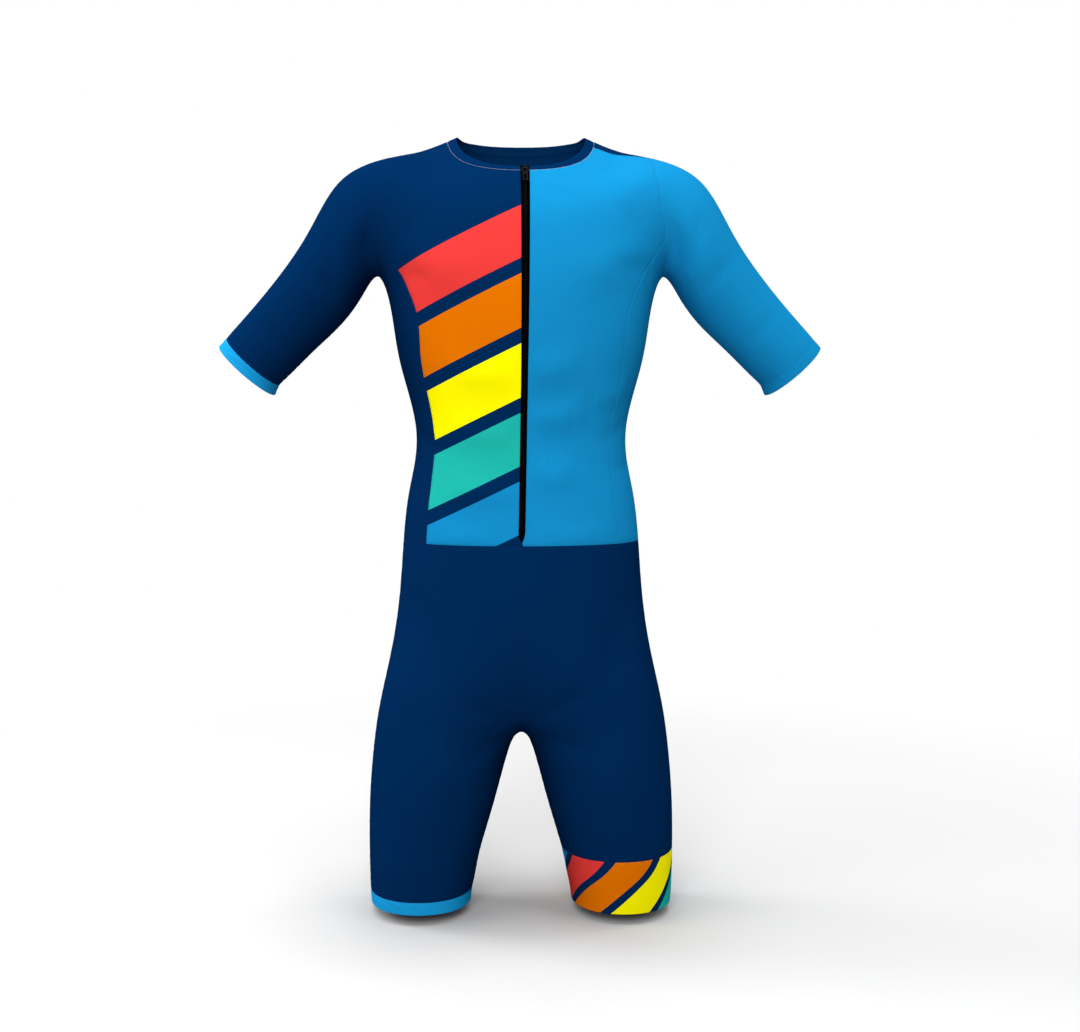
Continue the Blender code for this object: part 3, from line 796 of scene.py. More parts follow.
FOLDS = (
    # Front, wearer's left: out of the armpit, then across the belly beside the zip
    Fold((152, -58, -146), (130, -82, -116), (116, -86, -82), 9, -1.5),
    Fold((26, -84, -68), (36, -91, -80), (50, -95, -90), 8, -1.0),
    Fold((150, -52, -172), (122, -86, -160), (88, -104, -166), 10, -1.1),
    Fold((4, -110, -262), (32, -109, -270), (64, -102, -256), 17, 2.5),
    Fold((4, -102, -318), (36, -99, -323), (70, -88, -306), 15, 2.7),
    Fold((4, -102, -374), (34, -98, -384), (62, -92, -372), 17, 2.6),
    Fold((78, -86, -292), (96, -74, -298), (112, -52, -286), 14, 1.8),
    Fold((10, -104, -446), (60, -92, -450), (106, -64, -444), 11, 1.3),
    Fold((119, -22, -318), (106, -58, -338), (82, -80, -346), 9, -1.2),
    Fold((124, -8, -362), (116, -46, -378), (98, -72, -372), 8, -0.9),
    # Front, wearer's right
    Fold((-150, -60, -150), (-132, -80, -122), (-112, -90, -92), 9, -1.3),
    Fold((-18, -88, -70), (-28, -92, -82), (-42, -95, -90), 8, -0.9),
    Fold((-150, -50, -176), (-126, -84, -170), (-98, -100, -180), 10, -1.2),
    Fold((-6, -110, -272), (-44, -108, -277), (-86, -96, -266), 16, 2.0),
    Fold((-6, -101, -334), (-46, -97, -341), (-80, -80, -330), 15, 2.1),
    Fold((-6, -102, -398), (-48, -98, -404), (-82, -86, -392), 14, 1.9),
    Fold((-18, -103, -448), (-64, -92, -452), (-100, -68, -446), 11, 1.1),
    Fold((-118, -24, -334), (-104, -60, -350), (-84, -80, -352), 9, -1.2),
    Fold((-128, -10, -396), (-116, -52, -404), (-100, -72, -398), 8, -0.8),
    # Sleeves: across the front from the armpit, and above the cuffs
    Fold((176, -48, -168), (188, -58, -132), (206, -50, -92), 10, -1.5),
    Fold((196, -40, -192), (214, -46, -168), (240, -36, -140), 9, -1.1),
    Fold((252, -26, -242), (266, -32, -226), (288, -24, -200), 8, -0.8),
    Fold((172, 56, -166), (190, 68, -132), (210, 58, -96), 10, -1.3),
    Fold((206, 54, -198), (226, 64, -178), (250, 54, -150), 9, -1.0),
    Fold((-174, -50, -164), (-190, -58, -126), (-204, -48, -86), 10, -1.3),
    Fold((-200, -40, -198), (-220, -44, -176), (-238, -36, -150), 9, -1.2),
    Fold((-262, -24, -252), (-274, -30, -236), (-292, -22, -214), 8, -0.9),
    Fold((-174, 56, -170), (-194, 68, -140), (-212, 58, -104), 10, -1.2),
    Fold((-214, 54, -204), (-232, 62, -186), (-256, 52, -160), 9, -0.9),
    # Shorts, front: out of the crotch and down from the hip
    Fold((8, -70, -662), (40, -94, -640), (78, -96, -628), 9, -1.4),
    Fold((16, -50, -686), (44, -78, -684), (76, -88, -694), 9, -1.2),
    Fold((122, -62, -512), (98, -90, -592), (44, -86, -660), 26, -3.0),
    Fold((102, -90, -652), (104, -86, -728), (112, -80, -808), 25, 2.4),
    Fold((60, -74, -792), (92, -84, -784), (128, -76, -794), 13, 0.8),
    Fold((-8, -70, -662), (-44, -94, -644), (-88, -92, -636), 9, -1.3),
    Fold((-16, -50, -688), (-40, -76, -692), (-68, -86, -708), 9, -1.3),
    Fold((-124, -60, -506), (-102, -88, -584), (-46, -86, -656), 27, -2.8),
    Fold((-100, -90, -644), (-102, -86, -724), (-110, -78, -822), 24, 2.2),
    Fold((-66, -72, -832), (-96, -80, -824), (-130, -72, -834), 12, 0.7),
    # Back: between the shoulder blades, the small of the back and below the seat
    Fold((128, 80, -146), (104, 96, -118), (92, 94, -82), 10, -1.4),
    Fold((-128, 80, -150), (-108, 95, -124), (-88, 96, -94), 10, -1.3),
    Fold((-84, 84, -322), (-12, 96, -338), (66, 88, -326), 13, -1.7),
    Fold((-52, 90, -368), (18, 94, -380), (88, 78, -366), 12, -1.5),
    Fold((-92, 78, -412), (-30, 96, -424), (44, 98, -416), 12, -1.2),
    Fold((-20, 104, -286), (24, 106, -292), (58, 100, -284), 13, -0.9),
    Fold((22, 74, -672), (58, 92, -682), (104, 92, -672), 10, -1.7),
    Fold((30, 56, -706), (60, 78, -718), (96, 84, -712), 10, -1.2),
    Fold((-20, 76, -670), (-62, 94, -678), (-110, 88, -664), 10, -1.6),
    Fold((-28, 58, -712), (-56, 76, -726), (-88, 84, -724), 10, -1.1),
    Fold((124, 20, -344), (112, 56, -358), (92, 74, -352), 9, -1.0),
    Fold((-122, 18, -352), (-112, 54, -364), (-94, 74, -360), 9, -1.0),
)


@dataclass
class Relief:
    """What the cloth does on the suit's form: its folds, the dip along its seams and its puckers."""

    folds: tuple[Fold, ...] = FOLDS
    path_steps: int = 24
    end_power: float = 0.75
    shoulder_share: float = 0.34
    shoulder_width: float = 2.1
    reach_in_widths: float = 4.5
    seam_dip: float = 0.2 * MM
    seam_dip_width: float = 2.6 * MM
    pucker_height: float = 0.16 * MM
    pucker_pitch: float = 11.0 * MM
    pucker_run: tuple[float, float, float] = (1.0, 0.7, 1.3)
    pucker_from: float = 3.0 * MM
    pucker_to: float = 13.0 * MM
    second_height: float = 0.6
    second_rate: float = 0.61
    second_phase: float = 1.7
    zip_ease: float = 12.0 * MM
    zip_foot: float = -465.0 * MM
    zip_share: float = 0.35

    def fold_path(self, fold: Fold, tree: KDTree, points: Points) -> Points:
        """Points along a fold, brought onto the surface."""
        start, middle, end = (np.array(place) * MM for place in fold[:3])
        shares = np.linspace(0, 1, self.path_steps)[:, None]
        control = 2 * middle - (start + end) / 2
        curve = (1 - shares) ** 2 * start + 2 * shares * (1 - shares) * control + shares**2 * end
        return np.array([points[tree.find(place)[1]] for place in curve])

    def fold_heights(self, points: Points) -> np.ndarray:
        """Height of all the folds together.

        Args:
            points: The surface's points.

        Returns:
            A height for each point, in metres.
        """
        tree = search_tree(points)
        heights = np.zeros(len(points))
        for fold in self.folds:
            path = self.fold_path(fold, tree, points)
            width = fold.half_width * MM
            reach = self.reach_in_widths * width
            near = np.all((points > path.min(0) - reach) & (points < path.max(0) + reach), axis=1)
            numbers = np.flatnonzero(near)
            gaps = np.linalg.norm(points[numbers, None] - path[None], axis=2)
            away = gaps.min(axis=1) / width
            share = gaps.argmin(axis=1) / (self.path_steps - 1)
            ends = np.sin(np.pi * share).clip(0) ** self.end_power
            body = np.exp(-away**2) - self.shoulder_share * np.exp(-(away / self.shoulder_width) ** 2)
            heights[numbers] += fold.height * MM * ends * body / (1 - self.shoulder_share)
        return heights

    def pucker_heights(self, points: Points, reach: np.ndarray) -> np.ndarray:
        """Small ripples beside the seams, as uneven as sewn knit."""
        turn = 2 * np.pi * (points @ np.array(self.pucker_run)) / self.pucker_pitch
        second = np.sin(self.second_rate * turn + self.second_phase)
        ripple = np.sin(turn) + self.second_height * second
        span = (reach - self.pucker_from) / (self.pucker_to - self.pucker_from)
        inside = np.clip(np.minimum(reach / self.pucker_from, 1 - span), 0, 1)
        return self.pucker_height * ripple * inside

    def apply(self, surface: SuitSurface) -> None:
        """Moves the surface's points along their normals, hardly at all at the front centre."""
        points = surface.points
        sewn = search_tree(points[np.unique(surface.edges[surface.edge_seams > 0])])
        reach = np.array([sewn.find(point)[2] for point in points])
        heights = self.fold_heights(points) + self.pucker_heights(points, reach)
        by_zip = (points[:, 1] < 0) & (points[:, 2] > self.zip_foot)
        ease = np.clip(np.abs(points[:, 0]) / self.zip_ease, 0, 1)
        heights *= np.where(by_zip, self.zip_share + (1 - self.zip_share) * ease, 1.0)
        heights -= self.seam_dip * np.exp(-((reach / self.seam_dip_width) ** 2))
        surface.points = points + surface.normals * heights[:, None]


# ------------------------------------------------------------------ node trees


def operator(operation: str, swapped: bool = False) -> Callable[[Wire, Wire | float], Wire]:
    """A Python operator that adds a Math node, with its two values in either order."""

    def apply(self: Wire, other: Wire | float) -> Wire:
        """Adds the node."""
        return self.tree.math(operation, *((other, self) if swapped else (self, other)))

    return apply


def function(operation: str) -> Callable[[Wire], Wire]:
    """A method that adds a Math node on one value."""

    def apply(self: Wire) -> Wire:
        """Adds the node."""
        return self.tree.math(operation, self)

    return apply


class Wire:
    """An output of a node. Python's operators on it, either way round, add Math nodes."""

    def __init__(self, tree: NodeTree, socket: bpy.types.NodeSocket) -> None:
        """Wraps a socket of a tree."""
        self.tree = tree
        self.socket = socket

    __add__ = __radd__ = operator("ADD")
    __mul__ = __rmul__ = operator("MULTIPLY")
    __sub__, __rsub__ = operator("SUBTRACT"), operator("SUBTRACT", swapped=True)
    __truediv__, __rtruediv__ = operator("DIVIDE"), operator("DIVIDE", swapped=True)
    __pow__, __rpow__ = operator("POWER"), operator("POWER", swapped=True)
    __gt__, __lt__ = operator("GREATER_THAN"), operator("LESS_THAN")
    __abs__ = function("ABSOLUTE")
    sine, fraction, whole = function("SINE"), function("FRACT"), function("FLOOR")


class NodeTree:
    """Builds shader or geometry nodes."""

    def __init__(self, tree: bpy.types.NodeTree) -> None:
        """Starts from an empty tree."""
        self.tree = tree
        tree.nodes.clear()

    def node(self, kind: str, inputs: Inputs = None, **settings: object) -> bpy.types.Node:
        """Adds a node.

        Args:
            kind: The node's type.
            inputs: A value, or a wire, for each socket by its name or number.
            settings: Its properties, set first. "stops" gives a colour ramp's places and colours.

        Returns:
            The node.
        """
        node = self.tree.nodes.new(kind)
        for name, value in settings.items():
            if name == "stops":
                self.set_stops(node.color_ramp, value)
            else:
                setattr(node, name, value)
        for name, value in (inputs or {}).items():
            if isinstance(value, Wire):
                self.tree.links.new(value.socket, node.inputs[name])
            else:
                node.inputs[name].default_value = value
        return node

    @staticmethod
    def set_stops(ramp: bpy.types.ColorRamp, stops: Sequence[tuple[float, Colour]]) -> None:
        """Gives a ramp its stops, each a flat band of colour."""
        ramp.interpolation = "CONSTANT"
        while len(ramp.elements) < len(stops):
            ramp.elements.new(1.0)
        for element, (place, colour) in zip(ramp.elements, stops):
            element.position = place
            element.color = (*colour, 1.0)

    def out(
        self, kind: str, inputs: Inputs = None, output: str | int = 0, **settings: object
    ) -> Wire:
        """Adds a node and returns one of its outputs."""
        return Wire(self, self.node(kind, inputs, **settings).outputs[output])

    def math(self, operation: str, *values: Wire | float) -> Wire:
        """Adds a Math node on one or two values."""
        return self.out("ShaderNodeMath", dict(enumerate(values)), operation=operation)

    def split(self, vector: Wire) -> list[Wire]:
        """The three parts of a vector."""
        return [Wire(self, part) for part in self.node("ShaderNodeSeparateXYZ", {0: vector}).outputs]

    def place(self) -> Wire:
        """Where a point lies in the suit's own frame."""
        return self.out("ShaderNodeTexCoord", output="Object")

    def noise(self, scale: float, **inputs: float) -> Wire:
        """Noise through space."""
        return self.out("ShaderNodeTexNoise", {"Vector": self.place(), "Scale": scale, **inputs}, "Fac")

    def bump(self, height: Wire, depth: float) -> Wire:
        """A normal tilted by a height from 0 to 1."""
        return self.out("ShaderNodeBump", {"Height": height, "Distance": depth, "Strength": 1.0})

    def mix(
        self, share: Wire | float, first: Wire | Colour, second: Wire | Colour, blend: str = "MIX"
    ) -> Wire:
        """A colour between two others, or another blend of them."""
        pair = ((MIX_COLOUR_A, first), (MIX_COLOUR_B, second))
        inputs = {n: value if isinstance(value, Wire) else (*value, 1.0) for n, value in pair}
        settings = {"data_type": "RGBA", "blend_type": blend}
        return self.out("ShaderNodeMix", {0: share, **inputs}, MIX_COLOUR_OUT, **settings)

    def scaled(self, colour: Wire | Colour, factor: Wire) -> Wire:
        """A colour made lighter or darker by a value."""
        grey = self.out("ShaderNodeCombineColor", {0: factor, 1: factor, 2: factor})
        return self.mix(1.0, colour, grey, "MULTIPLY")

    def mixed(self, share: Wire, first: Wire, second: Wire) -> Wire:
        """A shader between two others."""
        return self.out("ShaderNodeMixShader", {0: share, 1: first, 2: second})


def new_material(name: str) -> tuple[bpy.types.Material, NodeTree]:
    """A material and its node tree, still empty."""
    material = bpy.data.materials.new(name)
    material.use_nodes = True
    return material, NodeTree(material.node_tree)


# ------------------------------------------------------------------ finishes


NAVY: Colour = (0.0004, 0.0206, 0.0853)
SKY: Colour = (0.0066, 0.242, 0.527)
NAVY_INSIDE: Colour = (0.001, 0.033, 0.122)
SKY_INSIDE: Colour = (0.020, 0.290, 0.580)
BRIGHT_SKY: Colour = (0.0097, 0.313, 0.672)
RED: Colour = (0.75, 0.044, 0.039)
ORANGE: Colour = (0.73, 0.163, 0.0005)
YELLOW: Colour = (1.0, 0.92, 0.001)
TEAL: Colour = (0.0132, 0.435, 0.371)
PALE_THREAD: Colour = (0.62, 0.50, 0.56)
BLACK: Colour = (0.0009, 0.0009, 0.0011)
WHITE: Colour = (1.0, 1.0, 1.0)
BAR_COLOURS: tuple[Colour, ...] = (SKY, TEAL, YELLOW, ORANGE, RED)


@dataclass(frozen=True)
class Finish:
    """A material's name. Each kind of finish says what its shader is fed."""

    name: str

    def shade(self, tree: NodeTree) -> dict[str, object]:
        """The Principled shader's inputs."""
        raise NotImplementedError

    def build(self) -> bpy.types.Material:
        """The material."""
        material, tree = new_material(self.name)
        shader = tree.out("ShaderNodeBsdfPrincipled", self.shade(tree))
        tree.node("ShaderNodeOutputMaterial", {"Surface": shader})
        return material


@dataclass(frozen=True)
class KnitFinish(Finish):
    """Plain dyed warp knit: fine wales and courses, and slow changes of tone."""

    colour: Colour
    roughness: float = 0.88
    rough_change: float = 0.10
    specular: float = 0.0
    wale: float = 1.05 * MM
    course: float = 0.85 * MM
    wale_share: float = 0.6
    loop_slant: float = 0.45
    tone_change: float = 0.05
    stitch_shade: float = 0.10
    relief: float = 0.05 * MM
    cloud_scale: float = 9.0
    cloud_detail: float = 3.0
    cloud_roughness: float = 0.55

    def paint(self, tree: NodeTree, across: Wire, along: Wire) -> Wire | Colour:
        """The dyed colour, before the knit shades it."""
        return self.colour

    def shade(self, tree: NodeTree) -> dict[str, object]:
        """The Principled shader's inputs."""
        across, along, _ = tree.split(tree.out("ShaderNodeUVMap", uv_map="knit"))
        side = abs((across / self.wale).fraction() - 0.5) * 2
        loop = (along / self.course + side * self.loop_slant).fraction()
        knit = (1 - side**2) * self.wale_share + (loop * math.pi).sine() * (1 - self.wale_share)
        cloud = tree.noise(self.cloud_scale, Detail=self.cloud_detail, Roughness=self.cloud_roughness)
        tone = (1 - self.stitch_shade) + knit * self.stitch_shade
        tone = tone * ((cloud - 0.5) * (2 * self.tone_change) + 1)
        rough = (1 - knit) * self.rough_change + (self.roughness - self.rough_change / 2)
        return {
            "Base Color": tree.scaled(self.paint(tree, across, along), tone),
            "Roughness": rough,
            "Normal": tree.bump(knit, self.relief),
            "Specular IOR Level": self.specular,
        }


def bar_colour(tree: NodeTree, place: Wire, gap: float, ground: Colour) -> Wire:
    """Plain bars in turn, with gaps of the ground colour between them.

    Args:
        tree: The material's nodes.
        place: Where the point lies across the bars, one unit for each bar and gap.
        gap: The share of a unit that the gap takes.
        ground: The colour of the gaps.

    Returns:
        The colour.
    """
    count = len(BAR_COLOURS)
    turn = ((place.whole() + 0.5) / count).fraction()
    stops = [(number / count, colour) for number, colour in enumerate(BAR_COLOURS)]
    bars = tree.out("ShaderNodeValToRGB", {"Fac": turn}, stops=stops)
    return tree.mix(place.fraction() < gap, bars, ground)


@dataclass(frozen=True)
class BarredFrontFinish(KnitFinish):
    """Knit printed with plain straight bars that climb evenly from the side to the zip."""

    slope_degrees: float = 26.0
    rise: float = 73.6 * MM
    gap_share: float = 0.22
    lowest: float = -463.0 * MM

    def paint(self, tree: NodeTree, across: Wire, along: Wire) -> Wire:
        """The bars, counted upwards from the waist seam at the side."""
        x, _, z = tree.split(tree.place())
        slope = math.tan(math.radians(self.slope_degrees))
        step = (z - x * slope - self.lowest) / self.rise
        bars = bar_colour(tree, step, self.gap_share, self.colour)
        return tree.mix(step > len(BAR_COLOURS), bars, self.colour)


@dataclass(frozen=True)
class BarredBandFinish(KnitFinish):
    """A gripper band printed with plain slanted bars all round."""

    pitch: float = 57.0 * MM
    lean: float = 0.46
    gap_share: float = 0.22
    first_bar: float = 200.0

    def paint(self, tree: NodeTree, across: Wire, along: Wire) -> Wire:
        """The bars, leaning as they go round the leg."""
        step = (across + along * self.lean) / self.pitch + self.first_bar
        return bar_colour(tree, step, self.gap_share, self.colour)


@dataclass(frozen=True)
class SpeckledFinish(Finish):
    """A colour with fine grain: the twist of sewing thread, or the scuffs on enamel."""

    colour: Colour
    grain: float = 900.0
    detail: float = 1.0
    darkest: float = 0.80
    tone_change: float = 0.5
    roughness: float = 0.7
    rough_change: float = 0.0
    specular: float = 0.08
    grain_roughness: float = 0.5

    def shade(self, tree: NodeTree) -> dict[str, object]:
        """The Principled shader's inputs."""
        speck = tree.noise(self.grain, Detail=self.detail, Roughness=self.grain_roughness)
        return {
            "Base Color": tree.scaled(self.colour, speck * self.tone_change + self.darkest),
            "Roughness": speck * self.rough_change + (self.roughness - self.rough_change / 2),
            "Specular IOR Level": self.specular,
        }


@dataclass(frozen=True)
class TapeFinish(Finish):
    """Black woven zip tape, with a herringbone rib."""

    rib: float = 0.7 * MM
    relief: float = 0.08 * MM
    darkest: float = 0.6
    tone_change: float = 0.8
    roughness: float = 0.8

    def shade(self, tree: NodeTree) -> dict[str, object]:
        """The Principled shader's inputs."""
        across, along, _ = tree.split(tree.out("ShaderNodeUVMap", uv_map="knit"))
        rib = (((abs(across) + along) / self.rib) * (2 * math.pi)).sine() * 0.5 + 0.5
        return {
            "Base Color": tree.scaled(BLACK, rib * self.tone_change + self.darkest),
            "Roughness": self.roughness,
            "Normal": tree.bump(rib, self.relief),
            "Specular IOR Level": 0.0,
        }


def enamel(name: str) -> SpeckledFinish:
    """Black enamelled metal or moulded coil, with small scuffs."""
    return SpeckledFinish(
        name, BLACK, grain=700.0, detail=4.0, grain_roughness=0.7, darkest=0.6, tone_change=1.2,
        roughness=0.45, rough_change=0.2, specular=0.02,
    )


FINISHES: dict[str, Finish] = {
    "navy": KnitFinish("navy_knit", NAVY),
    "sky": KnitFinish("sky_knit", SKY),
    "navy_inside": KnitFinish("navy_knit_inside", NAVY_INSIDE),
    "sky_inside": KnitFinish("sky_knit_inside", SKY_INSIDE),
    "sky_band": KnitFinish("sky_band_knit", BRIGHT_SKY, wale=1.6 * MM, stitch_shade=0.06),
    "barred_front": BarredFrontFinish("barred_knit", NAVY),
    "barred_band": BarredBandFinish("barred_band_knit", NAVY, wale=1.6 * MM, stitch_shade=0.06),
    "navy_thread": SpeckledFinish("navy_thread", NAVY),
    "sky_thread": SpeckledFinish("sky_thread", SKY),
    "pale_thread": SpeckledFinish("pale_thread", PALE_THREAD),
    "tape": TapeFinish("zip_tape_weave"),
    "coil": enamel("coil"),
    "enamel": enamel("enamel"),
}


# ------------------------------------------------------------------ panels


class PanelCut(NamedTuple):
    """A panel: its slot, its two finishes and the flat size that it was cut to, in metres."""

    panel: str
    slot: str
    outside: str
    inside: str
    width: float
    length: float
    area: float


PANEL_CUTS = (
    PanelCut("neck_band", "navy_knit", "navy", "navy_inside", 0.46, 0.011, 0.0046),
    PanelCut("front_right", "barred_knit", "barred_front", "navy_inside", 0.19, 0.455, 0.053),
    PanelCut("front_left", "sky_knit", "sky", "sky_inside", 0.19, 0.455, 0.053),
    PanelCut("side_right", "navy_knit", "navy", "navy_inside", 0.148, 0.305, 0.042),
    PanelCut("side_left", "sky_knit", "sky", "sky_inside", 0.148, 0.305, 0.042),
    PanelCut("back", "navy_knit", "navy", "navy_inside", 0.44, 0.455, 0.116),
    PanelCut("sleeve_right", "navy_knit", "navy", "navy_inside", 0.37, 0.22, 0.0645),
    PanelCut("sleeve_left", "sky_knit", "sky", "sky_inside", 0.37, 0.22, 0.0645),
    PanelCut("cuff_right", "sky_band", "sky_band", "sky_inside", 0.245, 0.0125, 0.003),
    PanelCut("cuff_left", "sky_band", "sky", "sky_inside", 0.245, 0.0125, 0.003),
    PanelCut("short_front_right", "navy_knit", "navy", "navy_inside", 0.27, 0.40, 0.0815),
    PanelCut("short_front_left", "navy_knit", "navy", "navy_inside", 0.27, 0.355, 0.0725),
    PanelCut("short_back_right", "navy_knit", "navy", "navy_inside", 0.285, 0.40, 0.084),
    PanelCut("short_back_left", "navy_knit", "navy", "navy_inside", 0.285, 0.355, 0.075),
    PanelCut("hem_right", "sky_band", "sky_band", "sky_inside", 0.355, 0.015, 0.0053),
    PanelCut("hem_left", "barred_band", "barred_band", "navy_inside", 0.385, 0.061, 0.023),
)


@dataclass
class PanelMaker:
    """Cuts the surface along its seams and gives each panel its thickness and soft edges.

    The cut sheet is sunk a little under the cloth's face, so that two panels' rims always meet.
    """

    surface: SuitSurface
    cloth: float = 1.1 * MM
    band_cloth: float = 1.5 * MM
    sunk: float = 0.4 * MM
    edge_width: float = 0.25 * MM
    edge_degrees: float = 55.0
    bands: tuple[str, ...] = ("neck_band", "cuff_right", "cuff_left", "hem_right", "hem_left")

    @staticmethod
    def split_at_zip(faces: np.ndarray, points: Points) -> tuple[np.ndarray, Points]:
        """Parts the two halves of the neck band at the front centre.

        Args:
            faces: The band's quads.
            points: The band's points.

        Returns:
            The quads, with the right half on points of its own, and all the points.
        """
        line = np.flatnonzero((np.abs(points[:, 0]) < CENTRE_REACH) & (points[:, 1] < 0))
        renamed = np.arange(len(points))
        renamed[line] = len(points) + np.arange(len(line))
        right = points[faces].mean(axis=1)[:, 0] < 0
        return np.where(right[:, None], renamed[faces], faces), np.vstack([points, points[line]])

    def cut(self, panel: str) -> bpy.types.Mesh:
        """The open sheet of one panel."""
        surface = self.surface
        chosen = surface.face_panels == surface.panels.index(panel)
        used, local = np.unique(surface.faces[chosen], return_inverse=True)
        faces = local.reshape(-1, 4)
        points = surface.points[used] - surface.normals[used] * self.sunk
        if panel == "neck_band":
            faces, points = self.split_at_zip(faces, points)
        mesh = bpy.data.meshes.new(f"{panel}_cloth")
        mesh.from_pydata(points.tolist(), [], faces.tolist())
        flat = mesh.uv_layers.new(name="knit")
        flat.data.foreach_set("uv", surface.flat[np.repeat(chosen, 4)].astype(np.float32).ravel())
        mesh.shade_smooth()
        return mesh

    def make(
        self, cut: PanelCut, outside: bpy.types.Material, inside: bpy.types.Material
    ) -> bpy.types.Object:
        """A panel as a thin shell, with the knit's inner face on its wall.

        Args:
            cut: The panel.
            outside: The material of its face.
            inside: The material of its back.

        Returns:
            The panel's object.
        """
        obj = linked(f"{cut.panel}_cloth", self.cut(cut.panel))
        obj.data.materials.append(outside)
        obj.data.materials.append(inside)
        wall = obj.modifiers.new("wall", "SOLIDIFY")
        wall.thickness = self.band_cloth if cut.panel in self.bands else self.cloth
        wall.offset = 2 * self.sunk / wall.thickness - 1
        wall.material_offset = 1
        edge = obj.modifiers.new("edge", "BEVEL")
        edge.width = self.edge_width
        edge.segments = 2
        edge.limit_method = "ANGLE"
        edge.angle_limit = math.radians(self.edge_degrees)
        return obj


# ------------------------------------------------------------------ stitches


class Stitch(Enum):
    """How threads lie along a seam, or the coil along the zip."""

    FLATLOCK = "flatlock"
    COVER = "cover"
    SINGLE = "single"
    COIL = "coil"


class SeamPlan(NamedTuple):
    """Seams that are sewn alike: their stitch and thread, and their rows' spread and pitch in mm."""

    piece: str
    stitch: Stitch
    thread: str
    spread: float
    pitch: float
    seams: tuple[str, ...] = ()


SEAM_PLANS = (
    SeamPlan(
        "seams_navy", Stitch.FLATLOCK, "navy_thread", 2.1, 2.6,
        (
            "armhole_right", "side_front_right", "side_back_right", "side_back_left",
            "shoulder_right", "shoulder_left", "underarm_right",
        ),
    ),
    SeamPlan(
        "seams_shorts", Stitch.FLATLOCK, "navy_thread", 2.1, 2.6,
        ("waist", "front_rise", "back_rise", "leg_left", "leg_right"),
    ),
    SeamPlan(
        "seams_sky", Stitch.FLATLOCK, "sky_thread", 2.1, 2.6,
        ("armhole_left", "side_front_left", "underarm_left"),
    ),
    SeamPlan("neck_stitches", Stitch.SINGLE, "pale_thread", 0.0, 2.7, ("neck",)),
    SeamPlan(
        "band_stitches_sky", Stitch.SINGLE, "sky_thread", 0.0, 2.8,
        ("cuff_left", "cuff_right", "hem_right"),
    ),
    SeamPlan("band_stitches_navy", Stitch.COVER, "navy_thread", 1.5, 2.8, ("hem_left",)),
)


@dataclass
class SeamLines:
    """Ordered lines of points along the seams."""

    surface: SuitSurface

    def chains(self, seam: str) -> list[list[int]]:
        """The seam's points in order.

        Args:
            seam: The seam's name.

        Returns:
            A list of points for each stretch, closed where the seam is.
        """
        number = self.surface.seams.index(seam) + 1
        edges = self.surface.edges[self.surface.edge_seams == number]
        beside: dict[int, list[int]] = {}
        for a, b in edges.tolist():
            beside.setdefault(a, []).append(b)
            beside.setdefault(b, []).append(a)
        ends = [point for point, others in beside.items() if len(others) != 2]
        chains: list[list[int]] = []
        seen: set[frozenset] = set()
        for start in ends + list(beside):
            for following in beside[start]:
                if frozenset((start, following)) in seen:
                    continue
                chain = [start]
                point = following
                while True:
                    seen.add(frozenset((chain[-1], point)))
                    chain.append(point)
                    onward = [p for p in beside[point] if frozenset((point, p)) not in seen]
                    if len(beside[point]) != 2 or not onward:
                        break
                    point = onward[0]
                chains.append(chain)
        return chains

    def line_object(self, name: str, seams: Iterable[str]) -> bpy.types.Object:
        """An object of bare edges along some seams."""
        ids: list[int] = []
        edges: list[tuple[int, int]] = []
        for seam in seams:
            for chain in self.chains(seam):
                closed = chain[0] == chain[-1]
                kept = chain[:-1] if closed else chain
                base = len(ids)
                ids += kept
                edges += [(base + i, base + i + 1) for i in range(len(kept) - 1)]
                if closed:
                    edges.append((base + len(kept) - 1, base))
        return bare_line(name, self.surface.points[ids], edges, self.surface.normals[ids])


def bare_line(
    name: str, points: Points, edges: Sequence[tuple[int, int]], normals: Points
) -> bpy.types.Object:
    """An object of edges alone, with the cloth's normal at each point."""
    mesh = bpy.data.meshes.new(name)
    mesh.from_pydata(points.tolist(), edges, [])
    away = mesh.attributes.new("away", "FLOAT_VECTOR", "POINT")
    away.data.foreach_set("vector", normals.astype(np.float32).ravel())
    return linked(name, mesh)


class Grain(NamedTuple):
    """One thread of a stitch: its place along and across the seam, its turn and its length."""

    along: float
    across: float
    degrees: float
    length: float


